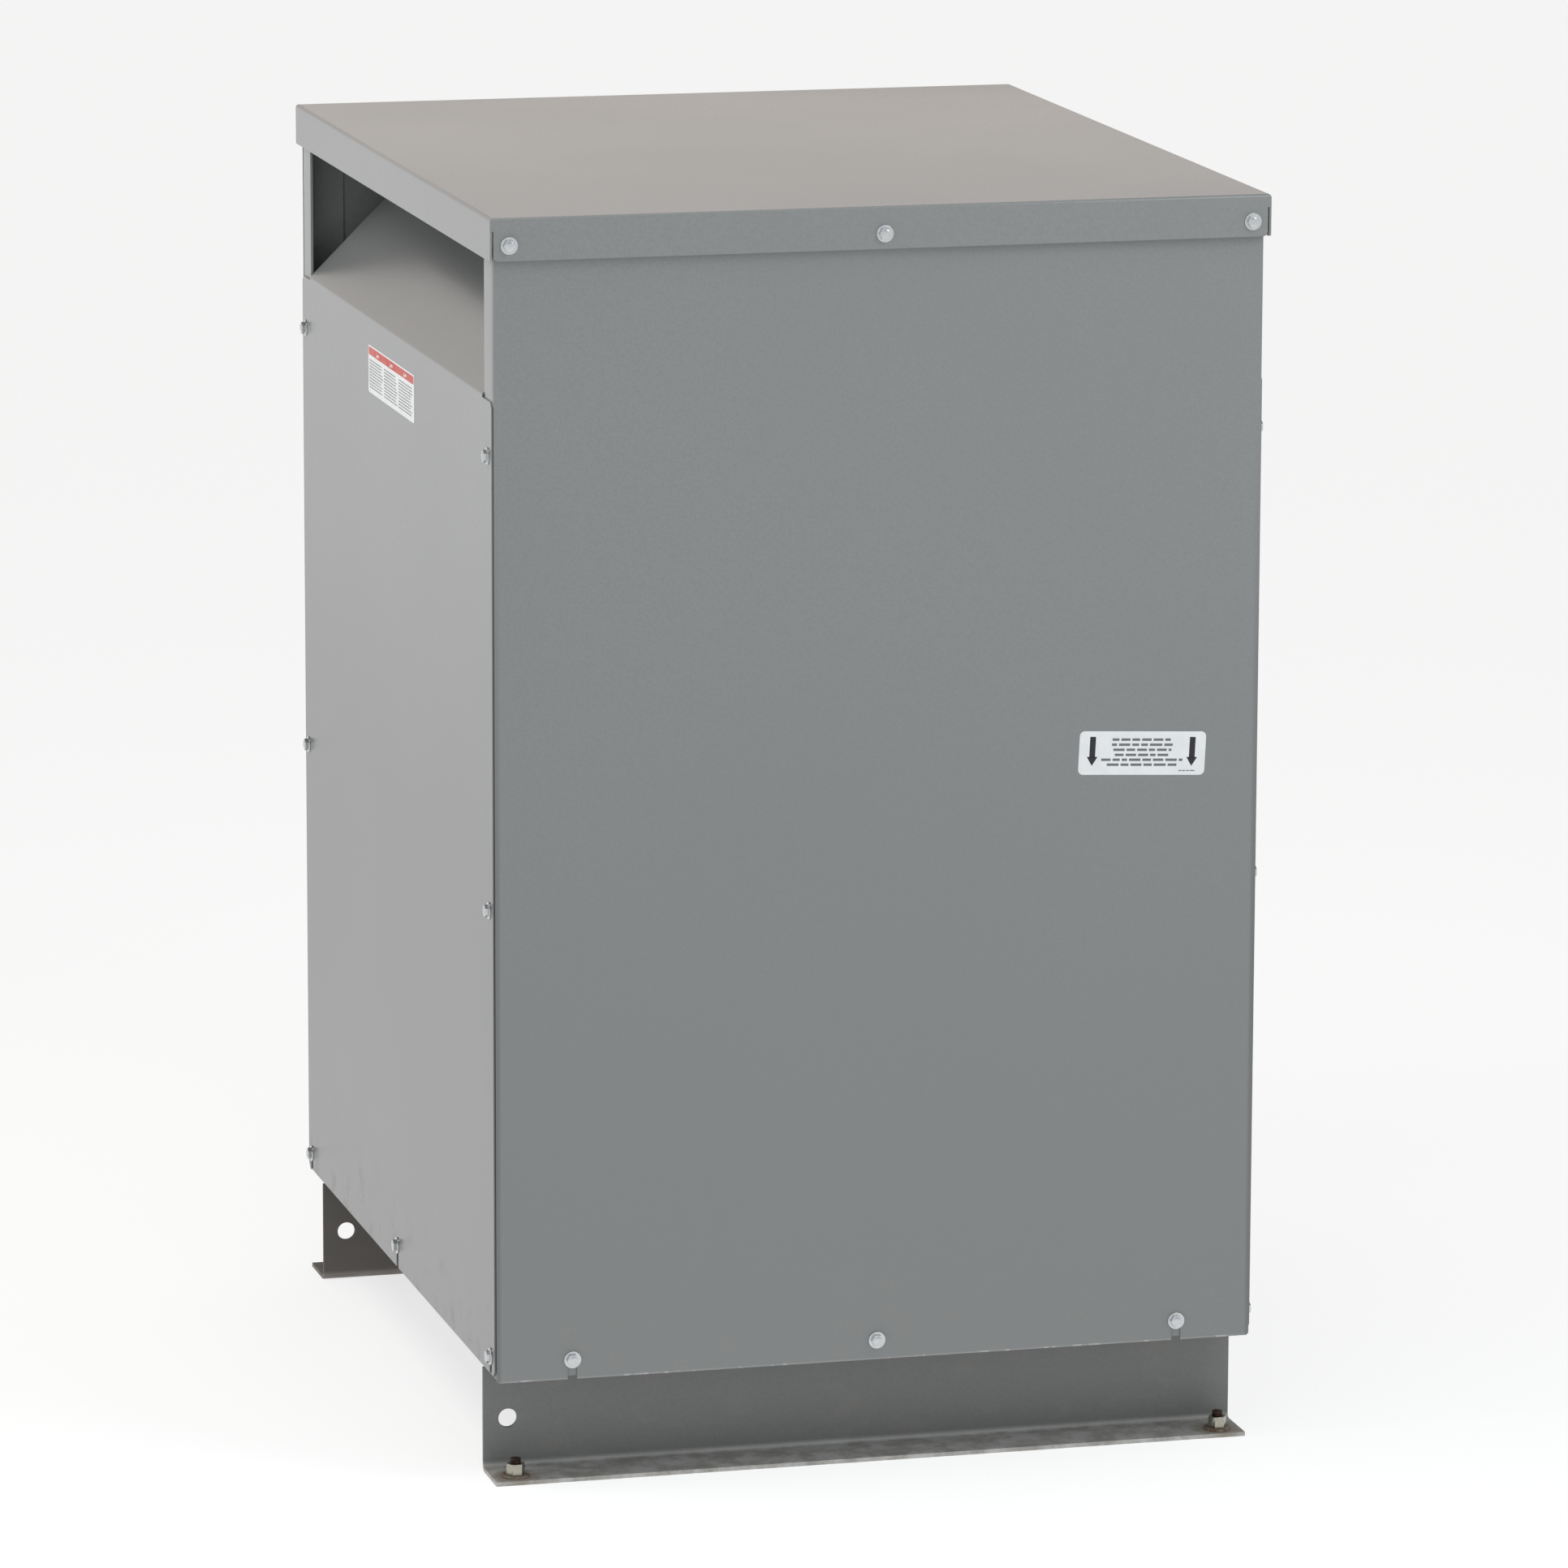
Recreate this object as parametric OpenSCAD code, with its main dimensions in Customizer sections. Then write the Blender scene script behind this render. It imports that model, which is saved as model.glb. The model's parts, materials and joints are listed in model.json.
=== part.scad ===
// Ventilated floor-standing dry-type distribution transformer.
// X runs left to right along the front cover, Y runs from the front (-Y) to the rear (+Y),
// Z is up. The origin is on the floor under the middle of the enclosure.

/* [Enclosure] */
// Width of the lid, left to right
lid_w = 914; // [760:1:1150]
// Depth of the lid, front to rear
lid_d = 1076; // [895:1:1350]
// Height from the floor to the top of the lid
total_h = 1470; // [1220:1:1800]
// Height of the lips folded down around the lid
lip_h = 48.5; // [45:0.5:70]
// Thickness of the lid's sheet
lid_t = 2.5; // [1.5:0.1:3]
// Outside radius of the lid's bends
lid_bend_r = 4; // [3.5:0.5:6]
// Width of the open seam at each lid corner
seam_w = 1.5; // [0.5:0.1:3]
// Radius of the lips' lower corners
lip_corner_r = 6; // [2:0.5:10]
// Thickness of the covers' sheet
cover_t = 2; // [1:0.1:3]
// Distance from the lid's side to the side face of the frame
side_inset = 6; // [5:0.5:20]
// Distance from the lid's front to the front face of the frame
front_inset = 12; // [9:0.5:25]
// Height of the lower edge of the front and rear covers
front_bottom_z = 124; // [100:1:135]
// Height of the lower edge of the side covers
side_bottom_z = 130; // [110:1:140]
// Radius of the front and rear covers' lower corners
cover_corner_r = 4; // [1:0.5:15]
// How far the front cover's top reaches up behind the lip
cover_tuck = 8.5; // [5:0.5:9]
// Gap between the edge of a side cover and the front face of the frame
side_cover_gap = 2; // [1:0.5:10]

/* [Vents] */
// Height of the vent opening's sill below the top of the lid
vent_drop = 210; // [180:1:260]
// Vertical rise of the sloping hood behind the vent opening
hood_rise = 137; // [80:1:145]
// Gap between the hood's ends and the posts
hood_end_gap = 3; // [1:0.5:10]
// Outside radius of the bend at the foot of the hood
hood_bend_r = 4; // [3:0.5:8]
// Chamfer on the corners of the side covers
cover_chamfer = 6; // [1:0.5:12]

/* [Frame] */
// Thickness of the posts and rails
frame_t = 3; // [2:0.5:3.5]
// Outside radius of the bends in posts and rails
frame_bend_r = 5; // [4.5:0.5:8]
// Width of a post's front flange
post_front_w = 50; // [35:1:60]
// Width of a post's side flange
post_side_w = 45; // [30:1:60]
// Width of the top rails' upper flange
top_flange_w = 45; // [30:1:70]
// Height of the base rails' face
base_face_h = 47; // [42:1:60]
// Width of the front base rail's shelf
base_shelf_w = 126; // [110:1:140]
// Width of the side base rail's shelf
side_shelf_w = 60; // [40:1:90]
// Gap between the top of a cover and the step of the rail above it
step_gap = 3; // [2:0.5:6]

/* [Feet] */
// Distance from the lid's front to the foot rail's web
foot_inset = 84; // [60:1:100]
// Width of the foot flange that lies on the floor
foot_flange_w = 68; // [55:1:75]
// Thickness of the foot rails
foot_t = 5; // [4:0.5:8]
// Outside radius of the foot rail's bends
foot_bend_r = 10; // [9:0.5:16]
// Height of the foot rails
foot_h = 173; // [165:1:185]
// Width of the foot rail's upper flange
foot_top_w = 65; // [60:1:75]
// Diameter of the lifting hole in the foot rail's web
lift_hole_d = 22.2; // [14:0.2:40]
// Distance from the foot rail's end to the lifting hole
lift_hole_end = 29; // [20:1:80]
// Height of the lifting hole
lift_hole_z = 62; // [30:1:90]
// Diameter of the anchor studs
anchor_d = 12.7; // [8:0.1:16]
// Height of the anchor studs above the floor
anchor_top_z = 27; // [24:0.5:40]
// Distance from the foot rail's end to the anchors
anchor_end = 27.5; // [22:0.5:60]
// Distance from the foot flange's edge to the anchors
anchor_edge = 22; // [18:0.5:30]

/* [Cover screws] */
// Diameter of the screws that hold lid and covers
screw_d = 6; // [4:0.1:8]
// Length of these screws under the head
screw_l = 16; // [12:1:18]
// Diameter of the washer face under a screw head
screw_flange_d = 20; // [14:0.5:20]
// Width across the flats of a screw head
screw_hex = 13; // [8:0.5:13]
// Radial clearance around a screw in its hole
screw_gap = 0.6; // [0.3:0.1:1]
// Width of the open slots at the covers' lower edges
slot_w = 11; // [7:0.5:14]
// Distance from the lid's top to its screws
lip_screw_drop = 31; // [28:0.5:32]
// Distance from the lid's sides to its outer screws
lip_screw_side = 22; // [18:0.5:40]
// Distance from the lid's sides to the front cover's outer screws
cover_screw_side = 95; // [80:1:160]
// Height of the front cover's screws above its lower edge
cover_screw_rise = 23; // [18:0.5:30]
// Distance from the frame's front face to the side cover's screws
side_screw_edge = 21; // [16:0.5:30]
// Height of the side covers' lowest screws above the edge
side_screw_rise = 21; // [16:0.5:30]
// Height of the side covers' lower middle screw above the edge
mid_screw_rise = 27; // [20:0.5:32]
// Distance from the vent sill down to the side covers' top screws
side_screw_drop = 63; // [30:1:120]

/* [Labels] */
// Thickness of the labels
label_t = 0.4; // [0.2:0.1:1]
// Width of the front label
front_label_w = 152; // [80:1:200]
// Height of the front label
front_label_h = 51; // [30:1:80]
// Distance from the lid's right side to the middle of the front label
front_label_side = 144; // [120:1:300]
// Height of the middle of the front label
front_label_z = 825; // [500:1:1100]
// Tilt of the front label
front_label_tilt = 2.7; // [0:0.1:5]
// Length of the side label
side_label_w = 254; // [120:1:300]
// Height of the side label
side_label_h = 57; // [30:1:90]
// Distance from the vent sill down to the middle of the side label
side_label_drop = 57.5; // [50:0.5:200]
// Offset of the side label from the middle of the cover
side_label_y = 7; // [-100:1:100]

/* [Core and windings] */
// Thickness of the lamination stack
stack_w = 160; // [120:1:180]
// Height of the yokes
yoke_h = 120; // [90:1:150]
// Height of the core windows
window_h = 620; // [500:1:760]
// Clearance between a core leg and the inner winding
leg_gap = 8; // [4:0.5:12]
// Radial build of the inner, low-voltage winding
lv_build = 24; // [14:1:30]
// Width of the cooling duct between the windings
duct_w = 14; // [8:0.5:20]
// Radial build of the outer, high-voltage winding
hv_build = 28; // [16:1:34]
// Gap between the outer windings of neighbouring phases
phase_gap = 17; // [8:0.5:40]
// Space between the end windings and the enclosure frame's front face
row_end_gap = 107; // [95:1:140]
// Distance between a yoke and the end of the windings
winding_end_gap = 25; // [20:1:60]
// Width of the sticks that hold the cooling duct open
stick_w = 10; // [6:0.5:16]
// Thickness of the clamp angles
clamp_t = 8; // [6:0.5:12]
// Height of the clamp angles
clamp_h = 120; // [100:1:140]
// Width of the clamp angles' flange
clamp_flange_w = 68; // [60:1:80]
// Outside radius of the clamp angles' bend
clamp_bend_r = 12; // [10:0.5:16]
// Distance from the lower clamp's foot to the underside of the core
core_lift = 15; // [14:0.5:20]
// Distance from the frame's front face to the clamps' ends
clamp_end_gap = 46; // [42:1:60]
// Height of the rubber isolation pads
pad_h = 25; // [22:1:50]
// Side of the square isolation pads
pad_w = 56; // [40:1:58]
// Diameter of the bolts through the clamps
clamp_bolt_d = 16; // [10:0.5:18]
// Diameter of the hold-down bolts
hold_bolt_d = 12; // [8:0.5:14]
// Diameter of the frame bolts
frame_bolt_d = 10; // [6:0.5:12]
// Radial clearance around bolts
bolt_gap = 1; // [0.5:0.1:2]

/* [Connections] */
// Thickness of the bus bars
bar_t = 8; // [5:0.5:10]
// Width of the bus bars
bar_w = 40; // [25:1:40]
// Distance from the coil row's middle plane to the terminal boards
board_x = 210; // [200:1:240]
// Thickness of the terminal boards
board_t = 12; // [8:0.5:20]
// Diameter of the holes in the bus bar pads
pad_hole_d = 14.3; // [10:0.1:16]
// Spacing of the holes in the bus bar pads
pad_hole_pitch = 44.5; // [36:0.5:50]
// Diameter of the tap studs
tap_stud_d = 8; // [5:0.5:10]
// Vertical spacing of the tap studs
tap_pitch = 45; // [36:1:60]
// Thickness of the tap links
link_t = 3; // [2:0.5:6]

/* [Hidden] */
$fn = 48;
LEFT = -1;
RIGHT = 1;
FRONT = -1;
REAR = 1;
SIDES = [-1, 1];
eps = 0.5;                                      // overshoot of cutting shapes

// Planes of the enclosure, measured from the middle
half_w = lid_w / 2;
half_d = lid_d / 2;
frame_x = half_w - side_inset;                  // side face of posts and side rails
frame_y = half_d - front_inset;                 // front face of posts and covers' seat
under_lid_z = total_h - lid_t;
lip_z = total_h - lip_h;
lip_rail_gap = 0.5;
lip_rail_y = half_d - lid_t - lip_rail_gap;     // face of the top rail behind the lip
seam_rise = lip_h - 15;                         // the seam stops short of the bend
cover_top_z = lip_z + cover_tuck;
cover_axis_z = cover_top_z - cover_t / 2;       // axis that a front or rear cover swings about
cover_axis_y = frame_y + cover_t / 2;
step_z = cover_top_z + step_gap;                // underside of the top rail's step
post_bottom_z = max(front_bottom_z, side_bottom_z) - 2;
rail_face_drop = 31;                            // depth of the top rail's lower flange

// Side covers and hoods
sill_z = total_h - vent_drop;
bend_z = sill_z + 2;
side_cover_y = frame_y - side_cover_gap;
post_inner_y = frame_y - post_side_w;
hood_y = post_inner_y - hood_end_gap;
hood_l = (hood_rise - hood_bend_r) * sqrt(2);
lean = 45;                                      // slope of the hood
bend_steps = 6;                                 // facets round the hood's bend
// A point on the hood's bend, i steps round it, at radius r
function bend_point(r, i) = [
    frame_x + cover_t - hood_bend_r + r * cos(lean * i / bend_steps),
    bend_z + r * sin(lean * i / bend_steps)
];

// Base
foot_web_y = half_d - foot_inset;               // outer face of the foot's web
foot_flange_y = foot_web_y + foot_flange_w;
foot_l = 2 * frame_x - 1;
foot_end_notch = 3;                             // the web's top corners clear the side rails
shelf_z = foot_h + frame_t;                     // top of the front and rear base rails
side_shelf_z = shelf_z + frame_t;
shelf_y = frame_y - base_shelf_w;               // inner edge of the base rail shelf
shelf_x = frame_x - 2 * frame_t;
post_gap_x = frame_x - post_front_w;            // the rails' faces run between the posts
screen_t = 1.5;
screen_y = shelf_y - eps;
screen_x = frame_x - 11;

// Screws and anchors
screw_r = screw_d / 2;
screw_hole_r = screw_r + screw_gap;
lip_screw_z = total_h - lip_screw_drop;
lip_screw_x = [-(half_w - lip_screw_side), 0, half_w - lip_screw_side];
cover_screw_z = front_bottom_z + cover_screw_rise;
cover_screw_x = [-(half_w - cover_screw_side), 0, half_w - cover_screw_side];
side_screw_y = frame_y - side_screw_edge;
side_low_z = side_bottom_z + side_screw_rise;
side_high_z = sill_z - side_screw_drop;
side_screw_z = [side_low_z, (side_low_z + side_high_z) / 2, side_high_z];
mid_screw_z = side_bottom_z + mid_screw_rise;
anchor_x = foot_l / 2 - anchor_end;
anchor_y = foot_flange_y - anchor_edge;
anchor_washer_d = 32;
anchor_washer_t = 2.5;
anchor_nut_h = 13.5;
anchor_nut_hex = 19;

// Core and windings: the row of coils runs along Y and fills the depth of the enclosure
winding_build = leg_gap + lv_build + duct_w + hv_build;
row_y = frame_y - row_end_gap;
leg_pitch = (row_y + phase_gap / 2) / 1.5;
leg_w = leg_pitch - phase_gap - 2 * winding_build;
clamp_z = shelf_z + pad_h;                      // underside of the lower clamps
core_z = clamp_z + core_lift;
window_z = core_z + yoke_h;
window_top_z = window_z + window_h;
core_top_z = window_top_z + yoke_h;
upper_clamp_z = core_top_z + 10;                // top of the upper clamps
winding_z = window_z + winding_end_gap;
winding_top_z = window_top_z - winding_end_gap;
clamp_y = frame_y - clamp_end_gap;
clamp_flange_x = stack_w / 2 + clamp_flange_w;  // outer edge of the clamp flanges
clamp_bolt_x = clamp_flange_x - 30;
tie_rod_y = clamp_y - 20;
pad_y = tie_rod_y - 40;
frame_bolt_x = frame_x - side_shelf_w + 9;
frame_bolt_y = foot_web_y - 24;
yoke_bolt_y = leg_pitch / 2;
block_w = 44;
block_y = -18;                                  // blocks stand beside the bus bars' leads
block_reach = block_w / 2 - block_y;            // far edge of a block from its leg's middle
end_bolt_y = leg_pitch + max(leg_w / 2 + 20, block_reach + clamp_bolt_d + 2);
leg_ys = [-leg_pitch, 0, leg_pitch];
lv_in = leg_gap;
lv_out = leg_gap + lv_build;
hv_in = lv_out + duct_w;
hv_out = hv_in + hv_build;
coil_corner_r = 12;                             // corner radius of the innermost winding surface
lead_y = 8;                                     // near edge of a lead, from the leg's middle
lead_rise = 11;                                 // leads pass this far from the windings' ends
board_l = 2 * row_y + 2 * 11;
bracket_y = board_l / 2 + 6;
bracket_t = 6;
lv_board_z = [winding_z - 31, winding_z + 239]; // lower and upper edges of the terminal boards
hv_board_z = [winding_top_z - 71, winding_top_z + 9];
pad_hole_end = 26;                              // from a bar's end to its first hole
lv_pad_z = winding_z + 39;                      // lower ends of the bars' pads
hv_pad_z = hv_board_z[0] - 2 * pad_hole_end - pad_hole_pitch;
neutral_z = winding_z - lead_rise - bar_t;
lv_lead_x = stack_w / 2 + (lv_in + lv_out) / 2; // middle of a winding's build, where its lead stands
hv_lead_x = stack_w / 2 + (hv_in + hv_out) / 2;
tap_x = stack_w / 2 + hv_out;                   // face of the outer windings
tap_z = (winding_z + winding_top_z) / 2;
tap_ys = [-22, 22];
tap_board_w = 90;
tap_board_t = 12;
tap_rows = 4;
hex_ratio = 2 / sqrt(3);                        // across corners over across flats

// ---------------------------------------------------------------- helpers

// A block between two corners
module block(x, y, z) {
    translate([x[0], y[0], z[0]]) cube([x[1] - x[0], y[1] - y[0], z[1] - z[0]]);
}

// Extrudes a profile drawn as (y, z) along X, centred
module along_x(l) {
    rotate([90, 0, 90]) linear_extrude(l, center = true) children();
}

// Extrudes a profile drawn as (x, z) along Y, centred
module along_y(l) {
    rotate([90, 0, 0]) linear_extrude(l, center = true) children();
}

// Profile of a bent angle: one leg along +x, one along +y, rounded at the bend
module angle_profile(a, b, t, r) {
    translate([r, 0]) square([a - r, t]);
    translate([0, r]) square([t, b - r]);
    intersection() {
        square(r);
        translate([r, r]) difference() {
            circle(r);
            circle(r - t);
        }
    }
}

// Rectangle with round corners, centred
module round_rect(w, h, r) {
    square([w - 2 * r, h], center = true);
    square([w, h - 2 * r], center = true);
    for (sx = SIDES, sy = SIDES) translate([sx * (w / 2 - r), sy * (h / 2 - r)]) circle(r);
}

// A hexagon head or nut standing on the XY plane
module hex(across, h) {
    cylinder(d = across * hex_ratio, h = h, $fn = 6);
}

// A hexagon screw with a washer face: the head points along +Z, the shank down
module washer_screw() {
    translate([0, 0, -screw_l]) cylinder(r = screw_r, h = screw_l);
    cylinder(d = screw_flange_d, h = 1.4);
    translate([0, 0, 1.4]) hex(screw_hex, 4.6);
    translate([0, 0, 6]) cylinder(d1 = screw_hex * 0.86, d2 = screw_hex * 0.62, h = 0.7);
}

// Points +Z outwards through the front (-1) or rear (1) face
module face_y(side) {
    rotate([-90 * side, 0, 0]) children();
}

// Points +Z outwards through the left (-1) or right (1) face
module face_x(side) {
    rotate([0, 90 * side, 0]) children();
}

module rod_y(r, l) {
    rotate([90, 0, 0]) cylinder(r = r, h = l, center = true);
}

module rod_x(r, l) {
    rotate([0, 90, 0]) cylinder(r = r, h = l, center = true);
}

// Builds a piece for the front and mirrors it for the rear
module at_end(side) {
    mirror([0, side == REAR ? 1 : 0, 0]) children();
}

// Builds a piece for the right and mirrors it for the left
module at_side(side) {
    mirror([side == LEFT ? 1 : 0, 0, 0]) children();
}

// ---------------------------------------------------------------- feet and frame

module foot_rail(side) color("dimgray") at_end(side) difference() {
    along_x(foot_l) union() {
        translate([-foot_web_y + foot_t, 0]) mirror([1, 0])
            angle_profile(foot_flange_w + foot_t, foot_h / 2, foot_t, foot_bend_r);
        translate([-foot_web_y, foot_h]) mirror([0, 1])
            angle_profile(foot_top_w, foot_h / 2 + eps, foot_t, foot_bend_r);
    }
    for (s = SIDES) {
        translate([s * anchor_x, -anchor_y, 0])
            cylinder(d = anchor_d + 2 * bolt_gap, h = 4 * foot_t, center = true);
        translate([s * frame_bolt_x, -frame_bolt_y, foot_h])
            cylinder(d = frame_bolt_d + 2 * bolt_gap, h = 4 * foot_t, center = true);
        translate([s * clamp_bolt_x, -pad_y, foot_h])
            cylinder(d = hold_bolt_d + 2 * bolt_gap, h = 4 * foot_t, center = true);
        translate([s * (foot_l / 2 + 10 - foot_end_notch), -foot_web_y, foot_h])
            cube([20, 4 * foot_top_w, 2 * (foot_h - front_bottom_z)], center = true);
    }
    translate([-(foot_l / 2 - lift_hole_end), -foot_web_y, lift_hole_z])
        rod_y(lift_hole_d / 2, 4 * foot_t);
}

module base_rail(side) color("gray") at_end(side) difference() {
    union() {
        along_x(2 * post_gap_x) translate([-frame_y, shelf_z]) mirror([0, 1])
            angle_profile(base_shelf_w, shelf_z - post_bottom_z, frame_t, frame_bend_r);
        block([-shelf_x, shelf_x], [-frame_y + 2 * frame_t, -shelf_y], [foot_h, shelf_z]);
    }
    for (x = cover_screw_x) translate([x, -frame_y, cover_screw_z]) rod_y(screw_hole_r, 4 * frame_t);
    for (s = SIDES) {
        translate([s * frame_bolt_x, -frame_bolt_y, shelf_z])
            cylinder(d = frame_bolt_d + 2 * bolt_gap, h = 4 * frame_t, center = true);
        translate([s * clamp_bolt_x, -pad_y, shelf_z])
            cylinder(d = hold_bolt_d + 2 * bolt_gap, h = 4 * frame_t, center = true);
    }
}

module side_base_rail(side) color("gray") at_side(side) difference() {
    along_y(2 * post_inner_y) translate([frame_x, side_shelf_z]) mirror([1, 0]) mirror([0, 1])
        angle_profile(side_shelf_w, base_face_h, frame_t, frame_bend_r);
    translate([frame_x, 0, mid_screw_z]) rod_x(screw_hole_r, 4 * frame_t);
    for (s = SIDES) translate([frame_bolt_x, s * frame_bolt_y, side_shelf_z])
        cylinder(d = frame_bolt_d + 2 * bolt_gap, h = 4 * frame_t, center = true);
}

module post(side, end) color("silver") at_side(side) at_end(end) difference() {
    translate([frame_x, -frame_y, post_bottom_z]) mirror([1, 0, 0])
        linear_extrude(step_z - post_bottom_z)
            angle_profile(post_front_w, post_side_w, frame_t, frame_bend_r);
    for (z = side_screw_z) translate([frame_x, -side_screw_y, z]) rod_x(screw_hole_r, 4 * frame_t);
}

module end_top_rail(side) color("gray") at_end(side) difference() {
    union() {
        along_x(2 * frame_x) union() {
            translate([-lip_rail_y, under_lid_z]) mirror([0, 1])
                angle_profile(top_flange_w, under_lid_z - step_z, frame_t, frame_bend_r);
            translate([-lip_rail_y, step_z]) square([lip_rail_y - frame_y + frame_t, frame_t]);
        }
        block([-post_gap_x, post_gap_x], [-frame_y, -frame_y + frame_t],
            [step_z - rail_face_drop, step_z + frame_t]);
    }
    for (x = lip_screw_x) translate([x, -lip_rail_y, lip_screw_z]) {
        rod_y(screw_hole_r, 2 * screw_l + 6);
        translate([-screw_hole_r, -screw_l - 3, 0])
            cube([2 * screw_hole_r, 2 * screw_l + 6, total_h - lip_screw_z]);
    }
}

module side_top_rail(side) color("gray") at_side(side) {
    along_y(2 * (lip_rail_y - top_flange_w)) translate([frame_x, under_lid_z])
        mirror([1, 0]) mirror([0, 1])
            angle_profile(side_inset + 34, under_lid_z - step_z, frame_t, frame_bend_r);
}

module frame_bolts() color("silver") for (sx = SIDES, sy = SIDES)
    translate([sx * frame_bolt_x, sy * frame_bolt_y, 0]) {
        translate([0, 0, foot_h - foot_t - 14])
            cylinder(d = frame_bolt_d, h = side_shelf_z - foot_h + foot_t + 14 + eps);
        translate([0, 0, side_shelf_z]) hex(1.6 * frame_bolt_d, 6.5);
        translate([0, 0, foot_h - foot_t - 8]) hex(1.6 * frame_bolt_d, 8);
    }

module bottom_screen() color("darkgray") difference() {
    hole_w = 34;
    rib_w = 6;
    columns = floor((2 * screen_x - 40) / (hole_w + rib_w));
    rows = floor((2 * screen_y - 40) / (hole_w + rib_w));
    block([-screen_x, screen_x], [-screen_y, screen_y], [foot_h, foot_h + screen_t]);
    for (i = [0:columns - 1], j = [0:rows - 1]) {
        x = (i - (columns - 1) / 2) * (hole_w + rib_w);
        y = (j - (rows - 1) / 2) * (hole_w + rib_w);
        translate([x, y, foot_h]) cube([hole_w, hole_w, 4 * screen_t], center = true);
    }
}

// ---------------------------------------------------------------- lid

// Section through the lid pan: w is the width, gap is the distance in from the outer skin
module pan_section(w, gap, r) {
    top = total_h - gap;
    low = lip_z - (gap > 0 ? 1 : 0);
    translate([-w / 2 + gap, low]) square([w - 2 * gap, top - r - low]);
    translate([-w / 2 + gap + r, low]) square([w - 2 * (gap + r), top - low]);
    for (s = SIDES) translate([s * (w / 2 - gap - r), top - r]) circle(r);
}

module pan(gap, r) intersection() {
    along_y(lid_d + 2) pan_section(lid_w, gap, r);
    along_x(lid_w + 2) pan_section(lid_d, gap, r);
}

// A cutter that rounds the corner of a lip: it stands in the XZ plane, 2 * t thick
module corner_cutter(r, t) translate([0, t, 0]) rotate([90, 0, 0]) linear_extrude(2 * t) difference() {
    translate([-eps, -eps]) square(r + eps);
    translate([r, r]) circle(r);
}

module lid() color("gainsboro") difference() {
    pan(0, lid_bend_r);
    intersection() {
        pan(lid_t, lid_bend_r - lid_t);
        block([-half_w + lid_t, half_w - lid_t], [-half_d + lid_t, half_d - lid_t], [0, total_h]);
    }
    for (sx = SIDES, sy = SIDES) scale_corner(sx, sy) {
        translate([-half_w + lid_t, -half_d - eps, lip_z - eps])
            cube([seam_w, lid_t + 2 * eps, seam_rise + eps]);
        translate([-half_w + lid_t + seam_w, -half_d, lip_z]) corner_cutter(lip_corner_r, lid_t);
        translate([-half_w, -half_d, lip_z]) rotate([0, 0, 90]) mirror([0, 1, 0])
            corner_cutter(lip_corner_r / 2, lid_t);
    }
    for (x = lip_screw_x, s = SIDES) translate([x, s * half_d, lip_screw_z])
        rod_y(screw_hole_r, 4 * lid_t);
}

// Copies a shape made for the front left corner to the corner on sides sx, sy
module scale_corner(sx, sy) {
    mirror([sx == RIGHT ? 1 : 0, 0, 0]) mirror([0, sy == REAR ? 1 : 0, 0]) children();
}

module lid_screws() color("lightgray") for (x = lip_screw_x, s = SIDES)
    translate([x, s * half_d, lip_screw_z]) face_y(s) washer_screw();

// ---------------------------------------------------------------- covers

// Outline of a front or rear cover below its swinging axis, drawn as (x, z)
module end_outline() {
    r = cover_corner_r;
    translate([-frame_x, front_bottom_z + r]) square([2 * frame_x, cover_axis_z - front_bottom_z - r]);
    translate([r - frame_x, front_bottom_z]) square([2 * (frame_x - r), r]);
    for (s = SIDES) translate([s * (frame_x - r), front_bottom_z + r]) circle(r);
}

// The cover's top edge is rounded: it rolls on the rail when the lower edge swings out
module end_cover(side) color("slategray") at_end(side) difference() {
    union() {
        translate([0, -frame_y - cover_t / 2, 0]) along_y(cover_t) end_outline();
        translate([0, -cover_axis_y, cover_axis_z]) rod_x(cover_t / 2, 2 * frame_x);
    }
    translate([0, -frame_y, cover_screw_z]) rod_y(screw_hole_r, 4 * cover_t);
    for (x = [cover_screw_x[0], cover_screw_x[2]]) open_slot_y(x, cover_screw_z, front_bottom_z);
}

// A slot, open at the lower edge low, with its round end at height z
module open_slot_y(x, z, low) {
    translate([x, -frame_y, z]) rod_y(slot_w / 2, 4 * cover_t);
    block([x - slot_w / 2, x + slot_w / 2], [-frame_y - 2 * cover_t, -frame_y + cover_t], [low - 1, z]);
}

module end_cover_screws(side) color("lightgray") for (x = cover_screw_x)
    translate([x, side * (frame_y + cover_t), cover_screw_z]) face_y(side) washer_screw();

// Outline of a side cover's flat part, drawn as (y, z)
module side_outline() {
    c = cover_chamfer;
    polygon([
        [-side_cover_y, side_bottom_z + c], [-side_cover_y + c, side_bottom_z],
        [side_cover_y - c, side_bottom_z], [side_cover_y, side_bottom_z + c],
        [side_cover_y, sill_z - c], [side_cover_y - c, sill_z],
        [-side_cover_y + c, sill_z], [-side_cover_y, sill_z - c]
    ]);
}

// Section of the hood, drawn as (x, z): it leans inwards at 45 degrees from the sill
module hood_section() {
    top = hood_l * [-sin(lean), cos(lean)];
    polygon(concat(
        [[frame_x + cover_t, sill_z - eps]],
        [for (i = [0:bend_steps]) bend_point(hood_bend_r, i)],
        [bend_point(hood_bend_r, bend_steps) + top, bend_point(hood_bend_r - cover_t, bend_steps) + top],
        [for (i = [bend_steps:-1:0]) bend_point(hood_bend_r - cover_t, i)],
        [[frame_x, sill_z - eps]]
    ));
}

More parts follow.
